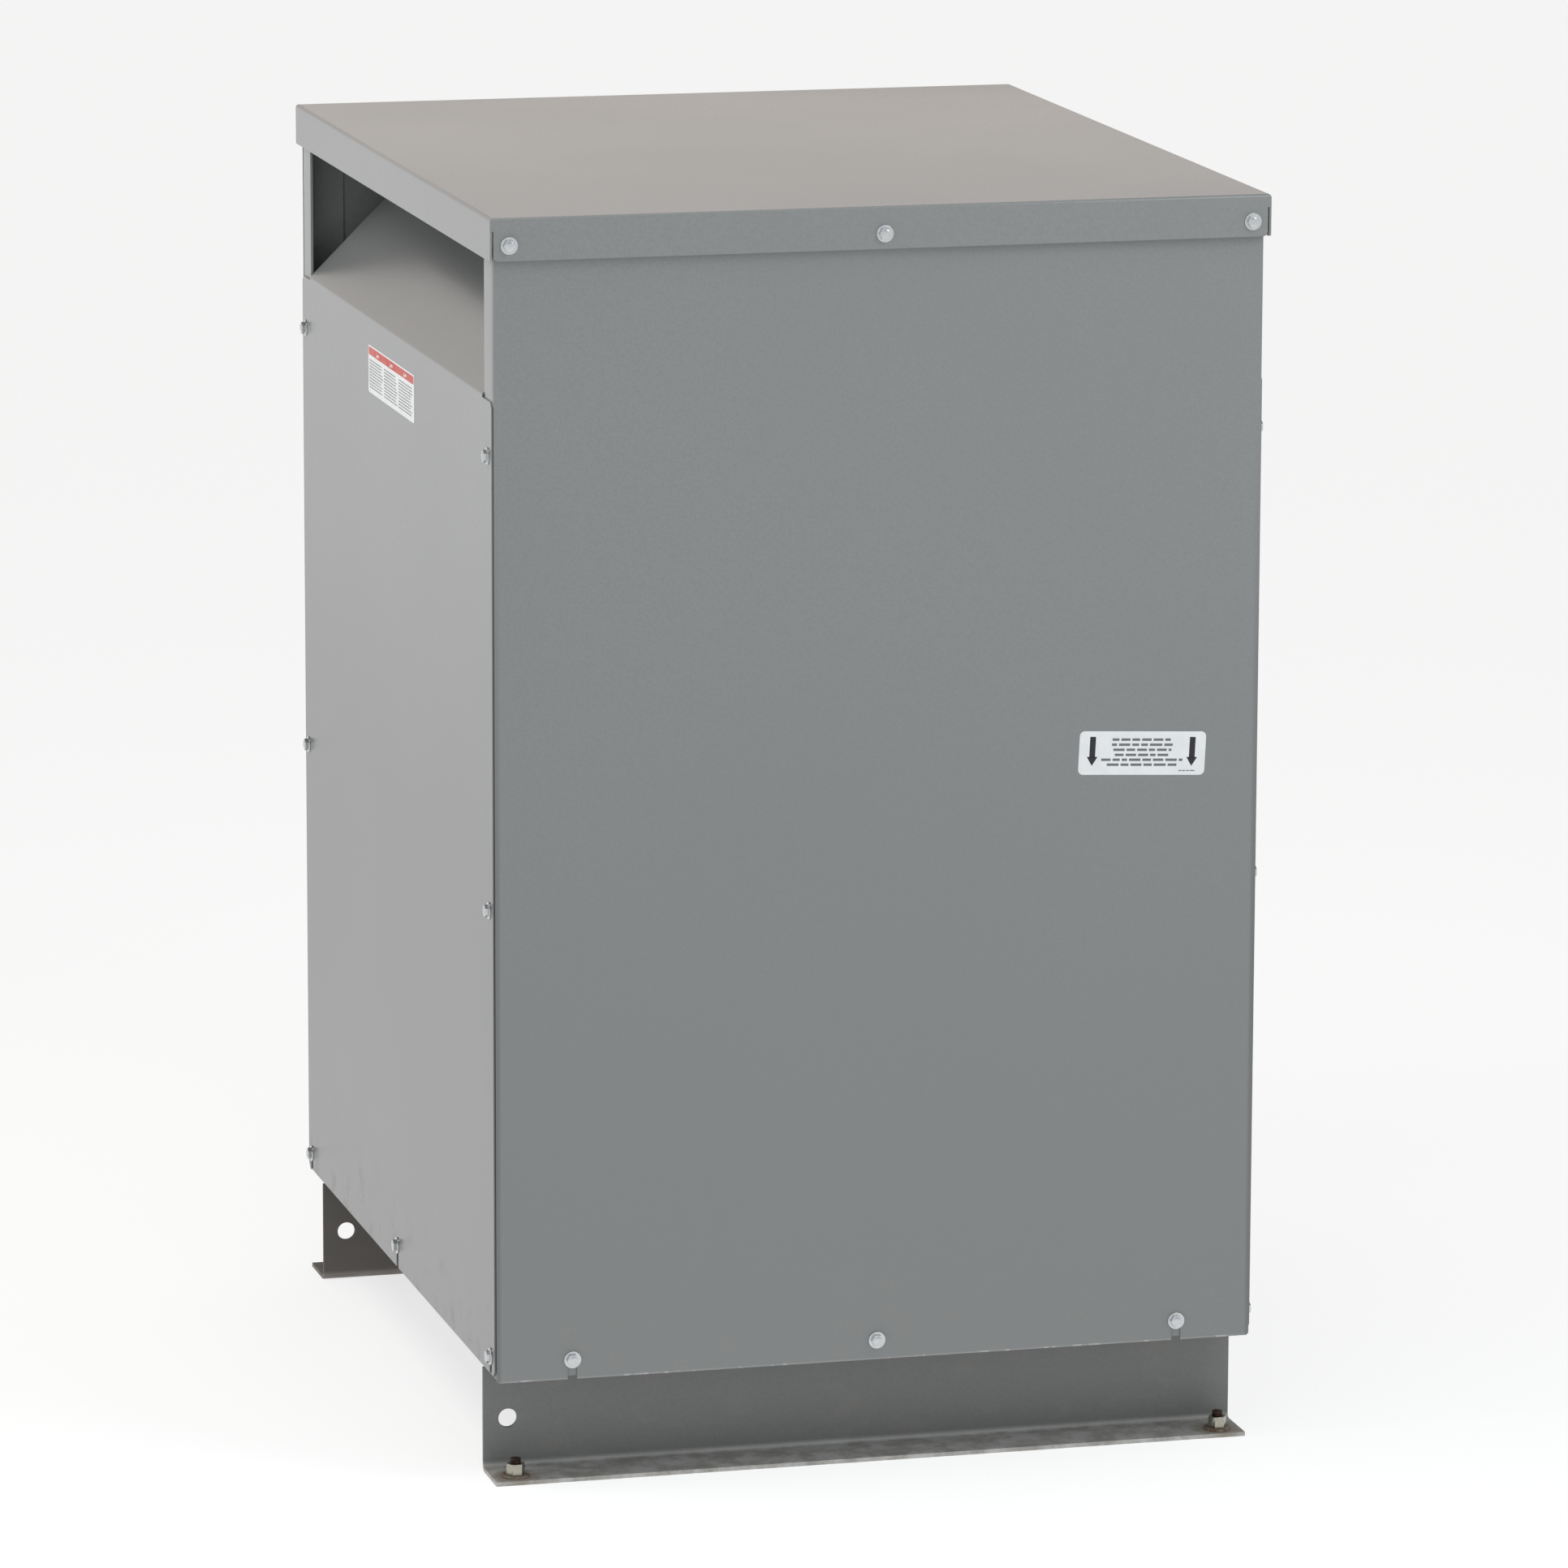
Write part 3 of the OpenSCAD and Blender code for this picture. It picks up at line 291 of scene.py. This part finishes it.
def powder_coat(name, tone, grime, grime_top):
    """Baked powder coat: fine grain, faint uneven film, painted shade low down and on the lower side
    covers, with dust and rub marks.

    Grime lies below the height grime_top. The front and rear covers' lower edges are chipped.
    """
    f = Finish(name, rough=0.22, specular=0.5)
    peel = f.noise(330, detail=2, rough=0.5)
    speck = f.noise(700, detail=2, rough=0.6)
    cloud = f.noise(2.6, detail=3, rough=0.55)
    base = f.blend(f.span(peel, 0.30, 0.70), shade(tone, 0.95), shade(tone, 1.05))
    base = f.blend(f.span(speck, 0.35, 0.70, 0.0, 0.5), base, shade(tone, 1.06))
    base = f.blend(f.span(cloud, 0.35, 0.70, 0.0, 0.4), base, shade(tone, 0.97))
    # painted shade: the coat is darkened towards the bottom, from 1.25 m down to 0.1 m
    base = f.blend(f.span(f.axis("Z"), 1.25, 0.1), base, shade(tone, 0.93))
    # painted shade: the side covers' outer faces are darkened further towards their lower part
    side = f.span(f.math("ABSOLUTE", f.axis("X")), SIDE_FACE_X - 9 * MM, SIDE_FACE_X - 4 * MM)
    painted_side_shade = f.math("MULTIPLY", side, f.span(f.axis("Z"), 1.30, 0.55))
    base = f.blend(painted_side_shade, base, shade(tone, 0.70))
    edge = f.span(f.axis("Z"), COVER_RIM_Z + 2.6 * MM, COVER_RIM_Z + 1.2 * MM)
    face = f.span(f.math("ABSOLUTE", f.axis("Y")), COVER_FACE_Y - 0.8 * MM, COVER_FACE_Y + 0.5 * MM)
    rim = f.math("MULTIPLY", edge, face)
    chips = f.span(f.noise(42, detail=4, rough=0.75), 0.52, 0.60, 0.22, 0.85)
    base = f.blend(f.math("MULTIPLY", rim, chips), base, (0.62, 0.61, 0.58))
    low = f.span(f.axis("Z"), grime_top, 0.0)
    patch = f.math("MULTIPLY", low, f.span(f.noise(22, detail=5, rough=0.7), 0.48, 0.74))
    base = f.blend(f.math("MULTIPLY", patch, 0.7), base, grime)
    scuffs = f.span(f.noise(11, detail=6, rough=0.75, stretch=(1, 1, 5), warp=0.6), 0.64, 0.80)
    f.colour(f.blend(f.math("MULTIPLY", scuffs, 0.10), base, shade(tone, 1.15)))
    f.rough(f.math("ADD", f.span(cloud, 0.3, 0.7, 0.21, 0.23), f.math("MULTIPLY", patch, 0.3)))
    f.bump((peel, 0.04 * MM), (speck, 0.02 * MM), (f.noise(1.7, detail=0), 0.3 * MM))
    return f.material


def foot_paint():
    """The foot rails' grey: painted light and dust on the flanges, a painted highlight on the bend, brown
    round the anchors, painted shade on the rear rail.
    """
    f = Finish("foot_paint", rough=0.5, specular=0.35)
    tone = (0.196, 0.200, 0.195)
    dirt = (0.255, 0.235, 0.212)
    speck = f.noise(420, detail=4, rough=0.65)
    base = f.blend(f.span(speck, 0.3, 0.7), shade(tone, 0.93), shade(tone, 1.06))
    smudge = f.noise(15, detail=5, rough=0.65, stretch=(1, 1, 2))
    base = f.blend(f.span(smudge, 0.50, 0.75, 0.0, 0.35), base, dirt)
    # painted light: the flanges' upper faces get a much lighter copy of the grey
    flat = f.span(f.axis("Z"), FLANGE_TOP_Z[1], FLANGE_TOP_Z[0])
    painted_flange_light = f.blend(f.span(speck, 0.3, 0.7), (0.51, 0.50, 0.485), (0.57, 0.56, 0.545))
    base = f.blend(flat, base, painted_flange_light)
    dusty = f.span(f.noise(34, detail=5, rough=0.7), 0.35, 0.65, 0.10, 0.75)
    dust = f.math("MULTIPLY", flat, dusty)
    base = f.blend(dust, base, dirt)
    # painted highlight: a light line along the bend between the flange and the web
    off_crease = f.math("ABSOLUTE", f.math("SUBTRACT", f.axis("Z"), FOOT_CREASE_Z))
    line = f.span(off_crease, 1.7 * MM, 0.5 * MM)
    painted_bend_highlight = f.math("MULTIPLY", line, f.span(smudge, 0.35, 0.6, 0.25, 0.65))
    base = f.blend(painted_bend_highlight, base, (0.50, 0.495, 0.48))
    size = (STUDS[1] - STUDS[0]) / 2
    x = f.math("SUBTRACT", f.math("ABSOLUTE", f.axis("X")), size.x - STUD_RADIUS)
    y = f.math("SUBTRACT", f.math("ABSOLUTE", f.axis("Y")), size.y - STUD_RADIUS)
    away = f.math("SQRT", f.math("ADD", f.math("MULTIPLY", x, x), f.math("MULTIPLY", y, y)))
    ragged = f.math("ADD", away, f.math("MULTIPLY", f.noise(60, detail=4, rough=0.7), 30 * MM))
    rust = f.math("MULTIPLY", f.span(ragged, 50 * MM, 34 * MM), flat)
    base = f.blend(f.math("MULTIPLY", rust, 0.8), base, (0.27, 0.225, 0.180))
    # painted shade: the rear rail, in shade under the unit, is darkened to a dark brown towards +Y
    f.colour(f.blend(f.span(f.axis("Y"), -0.3, 0.3, 0.0, 0.72), base, (0.058, 0.044, 0.036)))
    f.rough(f.span(speck, 0.3, 0.7, 0.46, 0.60))
    f.bump((speck, 0.06 * MM), (f.noise(90, detail=4), 0.12 * MM))
    return f.material


def plated(name, tone, rough, spots=(0.35, 0.33, 0.30)):
    """Zinc plate: metal with fine brushing, crystal mottle and a few dull spots."""
    f = Finish(name, rough=rough, metal=1.0)
    crystals = f.cells(420, output="Color")
    mottle = f.noise(260, detail=4, rough=0.7)
    base = f.blend(f.span(mottle, 0.3, 0.7), shade(tone, 0.88), tone)
    base = f.blend(0.06, base, crystals, mode="OVERLAY")
    f.colour(f.blend(f.span(f.noise(700, detail=5, rough=0.8), 0.62, 0.74, 0, 0.6), base, spots))
    f.rough(f.span(f.noise(480, detail=3), 0.3, 0.7, rough * 0.75, rough * 1.35))
    f.bump((f.noise(1500, detail=2), 0.02 * MM), (mottle, 0.04 * MM))
    return f.material


def mill_bar():
    """Bare aluminium bar with drawing lines."""
    f = Finish("bus_metal", rough=0.38, metal=1.0)
    lines = f.noise(300, detail=4, rough=0.6, stretch=(0.2, 3.0, 0.05))
    f.colour(f.blend(f.span(lines, 0.3, 0.7), (0.66, 0.66, 0.67), (0.84, 0.84, 0.84)))
    f.rough(f.span(f.noise(40, detail=4), 0.3, 0.7, 0.30, 0.48))
    f.bump((lines, 0.04 * MM))
    return f.material


def brass():
    f = Finish("stud_brass", rough=0.3, metal=1.0)
    tone = f.noise(200, detail=4)
    f.colour(f.blend(f.span(tone, 0.3, 0.7), (0.55, 0.38, 0.14), (0.80, 0.60, 0.26)))
    f.rough(f.span(tone, 0.3, 0.7, 0.24, 0.42))
    f.bump((f.noise(900, detail=2), 0.03 * MM))
    return f.material


def rusty_steel():
    """Plain steel washer gone brown."""
    f = Finish("rusty_washer", rough=0.7, metal=0.35)
    patches = f.noise(130, detail=6, rough=0.75)
    base = f.blend(f.span(patches, 0.42, 0.6), (0.30, 0.27, 0.22), (0.20, 0.105, 0.055))
    f.colour(f.blend(f.span(f.noise(420, detail=4), 0.55, 0.7), base, (0.09, 0.05, 0.03)))
    f.rough(f.span(patches, 0.4, 0.6, 0.5, 0.9))
    f.bump((patches, 0.25 * MM), (f.noise(900, detail=3), 0.1 * MM))
    return f.material


def oiled_stud():
    f = Finish("anchor_stud_steel", rough=0.42, metal=0.8)
    patches = f.noise(240, detail=5, rough=0.7)
    f.colour(f.blend(f.span(patches, 0.4, 0.65), (0.035, 0.022, 0.018), (0.10, 0.055, 0.035)))
    f.rough(f.span(patches, 0.3, 0.7, 0.32, 0.6))
    f.bump((patches, 0.08 * MM))
    return f.material


def laminations():
    """A stack of thin steel sheets seen on edge, under dark varnish."""
    f = Finish("core_steel", rough=0.42, metal=0.55)
    sheets = f.node("ShaderNodeTexWave", wave_type="BANDS", bands_direction="X")
    sheets.inputs["Scale"].default_value = 320
    sheets.inputs["Distortion"].default_value = 0.6
    f.put(sheets.inputs["Vector"], f.where)
    tone = f.noise(28, detail=4, stretch=(60, 1, 1))
    base = f.blend(f.span(tone, 0.3, 0.7), (0.045, 0.048, 0.055), (0.115, 0.118, 0.125))
    f.colour(f.blend(f.math("MULTIPLY", sheets.outputs["Fac"], 0.5), base, (0.02, 0.02, 0.022)))
    f.rough(f.span(tone, 0.3, 0.7, 0.32, 0.55))
    f.bump((sheets.outputs["Fac"], 0.25 * MM), (f.noise(300, detail=3), 0.06 * MM))
    return f.material


def varnished_winding():
    """Wrapped turns under amber resin: fine horizontal turns, runs of thicker varnish."""
    f = Finish("winding_varnish", rough=0.32, specular=0.55)
    turns = f.node("ShaderNodeTexWave", wave_type="BANDS", bands_direction="Z")
    turns.inputs["Scale"].default_value = 28
    turns.inputs["Distortion"].default_value = 0.35
    turns.inputs["Detail"].default_value = 2
    f.put(turns.inputs["Vector"], f.where)
    runs = f.noise(14, detail=5, rough=0.6, stretch=(1, 1, 0.25))
    base = f.blend(f.span(runs, 0.35, 0.68), (0.30, 0.15, 0.055), (0.50, 0.31, 0.13))
    f.colour(f.blend(f.math("MULTIPLY", turns.outputs["Fac"], 0.35), base, (0.16, 0.075, 0.03)))
    f.rough(f.span(runs, 0.3, 0.7, 0.22, 0.45))
    f.bump((turns.outputs["Fac"], 0.9 * MM), (f.noise(600, detail=2, stretch=(1, 1, 3)), 0.1 * MM))
    return f.material


def fibre_board(name, light, dark):
    """Glass-polyester laminate: short fibres in resin."""
    f = Finish(name, rough=0.5, specular=0.45)
    fibres = f.noise(160, detail=5, rough=0.7, stretch=(1, 1, 4), warp=1.2)
    base = f.blend(f.span(fibres, 0.35, 0.65), dark, light)
    f.colour(f.blend(f.span(f.cells(240), 0.0, 0.35, 0.25, 0.0), base, shade(light, 1.4)))
    f.rough(f.span(fibres, 0.3, 0.7, 0.42, 0.6))
    f.bump((fibres, 0.12 * MM))
    return f.material


def pad_rubber():
    f = Finish("pad_rubber", rough=0.8, specular=0.3)
    bloom = f.noise(60, detail=5, rough=0.7)
    f.colour(f.blend(f.span(bloom, 0.4, 0.7), (0.014, 0.014, 0.014), (0.045, 0.044, 0.042)))
    f.bump((f.noise(700, detail=3), 0.1 * MM))
    return f.material


def label_film(name, tone, rough=0.38):
    """Printed vinyl: a faint orange peel, slightly uneven tone."""
    f = Finish(name, rough=rough, specular=0.45)
    film = f.noise(60, detail=3)
    f.colour(f.blend(f.span(film, 0.3, 0.7), shade(tone, 0.95), tone))
    f.rough(f.span(f.noise(25, detail=2), 0.3, 0.7, rough * 0.85, rough * 1.2))
    f.bump((f.noise(420, detail=2), 0.03 * MM))
    return f.material


PAINT_TONE = (0.246, 0.253, 0.254)
FINISHES = {
    "enclosure_paint": lambda: powder_coat("enclosure_paint", PAINT_TONE, (0.27, 0.255, 0.235), 0.30),
    "foot_paint": foot_paint,
    "zinc_screws": lambda: plated("zinc_screws", (0.61, 0.625, 0.64), 0.19),
    "galvanised_mesh": lambda: plated("galvanised_mesh", (0.50, 0.51, 0.52), 0.5),
    "label_film": lambda: label_film("label_film", (0.86, 0.875, 0.885)),
    "anchor_stud_steel": oiled_stud,
    "yellow_zinc": lambda: plated("yellow_zinc", (0.41, 0.395, 0.34), 0.25, spots=(0.20, 0.165, 0.12)),
    "rusty_washer": rusty_steel,
    "core_steel": laminations,
    "clamp_paint": lambda: powder_coat("clamp_paint", (0.085, 0.105, 0.125), (0.07, 0.075, 0.08), 0.2),
    "pad_rubber": pad_rubber,
    "winding_varnish": varnished_winding,
    "spacer_laminate": lambda: fibre_board("spacer_laminate", (0.56, 0.44, 0.26), (0.42, 0.31, 0.17)),
    "board_laminate": lambda: fibre_board("board_laminate", (0.36, 0.060, 0.042), (0.24, 0.035, 0.028)),
    "bus_metal": mill_bar,
    "stud_brass": brass,
}
finishes = {slot: make() for slot, make in FINISHES.items()}
finishes["glass_tape"] = fibre_board("glass_tape", (0.62, 0.54, 0.38), (0.47, 0.385, 0.24))
finishes["ink_black"] = label_film("ink_black", (0.018, 0.018, 0.020), 0.42)
finishes["ink_grey"] = label_film("ink_grey", (0.17, 0.17, 0.18), 0.42)
finishes["ink_white"] = label_film("ink_white", (0.78, 0.76, 0.74), 0.40)
finishes["ink_red"] = label_film("ink_red", (0.62, 0.060, 0.045), 0.40)


# ------------------------------------------------------------------ CAD nodes: finish and softened edges

# Width of each slot's softened edges, in mm
EDGE_SOFTNESS = {
    "enclosure_paint": 0.5, "foot_paint": 0.9, "clamp_paint": 0.8, "zinc_screws": 0.4,
    "yellow_zinc": 0.6, "rusty_washer": 0.5, "label_film": 0.0, "core_steel": 0.6,
    "winding_varnish": 3.0, "spacer_laminate": 1.0, "board_laminate": 0.8, "bus_metal": 0.8,
    "stud_brass": 0.4, "pad_rubber": 1.5, "galvanised_mesh": 0.0, "anchor_stud_steel": 0.4,
}


def soften(piece, width):
    """Joins the mesh's split corners and rounds its sharp edges a little, so that they catch light."""
    weld = piece.modifiers.new("weld", "WELD")
    weld.merge_threshold = 0.002 * MM
    flats = piece.modifiers.new("flats", "DECIMATE")
    flats.decimate_type = "DISSOLVE"
    flats.angle_limit = math.radians(0.2)
    bevel = piece.modifiers.new("edges", "BEVEL")
    bevel.width = width
    bevel.segments = 2
    bevel.limit_method = "ANGLE"
    bevel.angle_limit = math.radians(32)
    bevel.harden_normals = True
    bevel.use_clamp_overlap = True


def dress_cad_nodes():
    slots = {row["node"]: row["material_slot"] for row in frame["record"]["subparts"]}
    for name, piece in frame["nodes"].items():
        slot = slots[name]
        piece.data.materials.clear()
        piece.data.materials.append(finishes[slot])
        if EDGE_SOFTNESS[slot]:
            bpy.context.view_layer.objects.active = piece
            bpy.ops.mesh.customdata_custom_splitnormals_clear()
            piece.data.shade_smooth()
            soften(piece, EDGE_SOFTNESS[slot] * MM)


# ------------------------------------------------------------------ built pieces

def add_piece(name, mesh, material, body):
    piece = bpy.data.objects.new(name, mesh)
    bpy.context.scene.collection.objects.link(piece)
    mesh.materials.append(finishes[material])
    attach(piece, body)
    return piece


def slab_mesh(name, outlines, thickness, place):
    """One mesh of thin closed slabs, one for each outline, which is a list of (u, v).

    place turns (u, v, height) into a point.
    """
    mesh_builder = bmesh.new()
    for outline in outlines:
        low = [mesh_builder.verts.new(place(u, v, 0.0)) for u, v in outline]
        high = [mesh_builder.verts.new(place(u, v, thickness)) for u, v in outline]
        mesh_builder.faces.new(list(reversed(low)))
        mesh_builder.faces.new(high)
        count = len(outline)
        for i in range(count):
            j = (i + 1) % count
            mesh_builder.faces.new((low[i], low[j], high[j], high[i]))
    bmesh.ops.recalc_face_normals(mesh_builder, faces=mesh_builder.faces)
    mesh = bpy.data.meshes.new(name)
    mesh_builder.to_mesh(mesh)
    mesh_builder.free()
    return mesh


def bar(u, v, w, h):
    """A bar w wide and h high around (u, v)."""
    left, right, low, high = u - w / 2, u + w / 2, v - h / 2, v + h / 2
    return [(left, low), (right, low), (right, high), (left, high)]


def ragged_line(rng, u0, u1, v, h, word=(3.0, 9.0), gap=1.6):
    """A printed line as blank word-long strokes between u0 and u1: no letters."""
    strokes = []
    u = u0
    while u < u1 - 1:
        w = min(rng.uniform(*word), u1 - u)
        strokes.append(bar(u + w / 2, v, w, h))
        u += w + gap
    return strokes


INK = 0.05 * MM
FRONT_LABEL_TILT = math.radians(-2.7)


def on_front_label(u, v, height):
    """u to the right and v up from the label's middle, in mm, and height off its face in metres."""
    c, s = math.cos(FRONT_LABEL_TILT), math.sin(FRONT_LABEL_TILT)
    at = middle(FRONT_LABEL)
    x = at.x + (u * c - v * s) * MM
    z = at.z + (u * s + v * c) * MM
    return Vector((x, FRONT_LABEL[0].y - height, z))


def on_side_label(u, v, height):
    """u runs from the rear towards the front, as read from outside."""
    at = middle(SIDE_LABEL)
    return Vector((SIDE_LABEL[0].x - height, at.y - u * MM, at.z + v * MM))


def front_label_print():
    rng = random.Random(3)
    arrows = []
    for u in (-60, 60):
        arrows.append(bar(u, 7, 7, 24))
        arrows.append([(u - 6.5, -4.5), (u, -15), (u + 6.5, -4.5)])
    mesh = slab_mesh("front_label_arrows", arrows, INK, on_front_label)
    add_piece("front_label_arrows", mesh, "ink_black", "front_panel")
    strokes = []
    for v, half in ((15.8, 36.5), (9.8, 37), (3.9, 35), (-2.1, 33), (-7.8, 49), (-13.6, 42)):
        strokes += ragged_line(rng, -half, half, v, 2.9, word=(6, 15), gap=2.4)
    strokes += ragged_line(rng, 45, 66, -20.5, 1.2, word=(3, 6), gap=1.0)
    mesh = slab_mesh("front_label_lines", strokes, INK, on_front_label)
    add_piece("front_label_lines", mesh, "ink_grey", "front_panel")


def side_label_print():
    rng = random.Random(8)
    size = SIDE_LABEL[1] - SIDE_LABEL[0]
    w, h = size.y / MM, size.z / MM
    band_h = h / 6
    band_v = h / 2 - band_h / 2 - 2
    band = slab_mesh("side_label_band", [bar(0, band_v, w - 5, band_h)], INK, on_side_label)
    add_piece("side_label_band", band, "ink_red", "left_panel")
    marks = []
    for u in (-w * 0.30, 0, w * 0.30):
        marks.append([(u - 7, band_v - 3.2), (u - 1, band_v - 3.2), (u - 4, band_v + 2.6)])
        marks.append(bar(u + 5, band_v - 0.4, 9, 3.0))
    mesh = slab_mesh("side_label_marks", marks, 2 * INK, on_side_label)
    add_piece("side_label_marks", mesh, "ink_white", "left_panel")
    strokes = []
    column_w = (w - 24) / 3
    for column in range(3):
        u0 = -w / 2 + 8 + column * (column_w + 4)
        v = h / 2 - band_h - 8
        while v > -h / 2 + 5:
            strokes += ragged_line(rng, u0, u0 + column_w * rng.uniform(0.82, 1.0), v, 1.5)
            v -= 3.6
    turns = [math.radians(-62 + 124 * i / 10) for i in range(11)]
    arc = [(-w / 2 + 1.5 + 6 * math.cos(a), -h * 0.12 + 11 * math.sin(a)) for a in turns]
    strokes.append(arc + [(u - 0.9, v) for u, v in reversed(arc)])
    mesh = slab_mesh("side_label_lines", strokes, INK, on_side_label)
    add_piece("side_label_lines", mesh, "ink_grey", "left_panel")


def threaded_rod(builder, at, radius, low, high, pitch, depth):
    """A round rod along Z with a screw thread from low to high and a flat end."""
    turn = 28
    rings = int((high - low) / pitch * 4)
    rows = []
    for i in range(rings + 1):
        z = low + (high - low) * i / rings
        row = []
        for k in range(turn):
            angle = 2 * math.pi * k / turn
            phase = ((z - low) / pitch - k / turn) % 1.0
            fade = min(1.0, (high - z) / (1.2 * pitch), (z - low) / (0.3 * pitch) + 0.2)
            r = radius - depth * fade * 2 * abs(phase - 0.5) - (0.6 * MM if i == rings else 0)
            offset = Vector((r * math.cos(angle), r * math.sin(angle), z))
            row.append(builder.verts.new(at + offset))
        rows.append(row)
    for a, b in zip(rows, rows[1:]):
        for k in range(turn):
            j = (k + 1) % turn
            builder.faces.new((a[k], a[j], b[j], b[k]))
    builder.faces.new(list(reversed(rows[0])))
    builder.faces.new(rows[-1])


def anchor_threads():
    """The studs with their threads, in place of the plain CAD shanks."""
    radius = STUD_RADIUS
    low, high = STUDS
    builder = bmesh.new()
    for x in (low.x + radius, high.x - radius):
        for y in (low.y + radius, high.y - radius):
            threaded_rod(builder, Vector((x, y, 0)), radius, low.z, high.z, pitch=1.95 * MM, depth=0.9 * MM)
    mesh = bpy.data.meshes.new("anchor_threads")
    builder.to_mesh(mesh)
    builder.free()
    mesh.shade_smooth()
    mesh.set_sharp_from_angle(angle=math.radians(50))
    piece = add_piece("anchor_threads", mesh, "anchor_stud_steel", "main_frame")
    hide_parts("anchor_studs")


BAND_W = 19 * MM
# Across a band: mm out from the winding, and height as a share of the band's width
BAND_PROFILE = (
    (-1.0, -0.50), (0.7, -0.47), (1.0, -0.25), (0.9, 0.0), (1.0, 0.25), (0.7, 0.47), (-1.0, 0.50),
)
BAND_HEIGHTS = (0.10, 0.365, 0.635, 0.90)            # shares of the winding's height


def rounded_loop(centre, half_x, half_y, radius, steps=9):
    """Points round a rounded rectangle, each with the direction outwards."""
    points = []
    for corner in range(4):
        sx = 1 if corner in (0, 3) else -1
        sy = 1 if corner in (0, 1) else -1
        for i in range(steps):
            angle = math.radians(90 * (corner + i / (steps - 1)))
            out = Vector((math.cos(angle), math.sin(angle), 0))
            at = centre + Vector((sx * (half_x - radius), sy * (half_y - radius), 0)) + out * radius
            points.append((at, out))
    return points


def winding_bands():
    """Glass tape tied round each outer winding, each turn a closed ring with raised edges."""
    rng = random.Random(5)
    builder = bmesh.new()
    for letter in "abc":
        name = "hv_winding_" + letter
        low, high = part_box(name)
        centre, half = (low + high) / 2, (high - low) / 2
        winding = frame["nodes"][name]
        corners = [winding.matrix_world @ v.co for v in winding.data.vertices]
        flat = max(abs(c.y - centre.y) for c in corners if c.x > high.x - 0.01 * MM)
        loop = rounded_loop(centre, half.x, half.y, half.y - flat)
        for share in BAND_HEIGHTS:
            z = low.z + share * (high.z - low.z) + rng.uniform(-4, 4) * MM
            tilt = rng.uniform(-0.006, 0.006)
            rows = []
            for out, up in BAND_PROFILE:
                rows.append([
                    builder.verts.new((at.x + away.x * out * MM, at.y + away.y * out * MM,
                                       z + up * BAND_W + tilt * (at.y - centre.y)))
                    for at, away in loop
                ])
            for row, above in zip(rows, rows[1:] + rows[:1]):
                for k in range(len(loop)):
                    j = (k + 1) % len(loop)
                    builder.faces.new((row[k], row[j], above[j], above[k]))
    bmesh.ops.recalc_face_normals(builder, faces=builder.faces)
    mesh = bpy.data.meshes.new("winding_bands")
    builder.to_mesh(mesh)
    builder.free()
    mesh.shade_smooth()
    mesh.set_sharp_from_angle(angle=math.radians(40))
    add_piece("winding_bands", mesh, "glass_tape", "main_frame")


# ------------------------------------------------------------------ build

add_camera()
add_light()
add_floor()
dress_cad_nodes()
front_label_print()
side_label_print()
anchor_threads()
winding_bands()
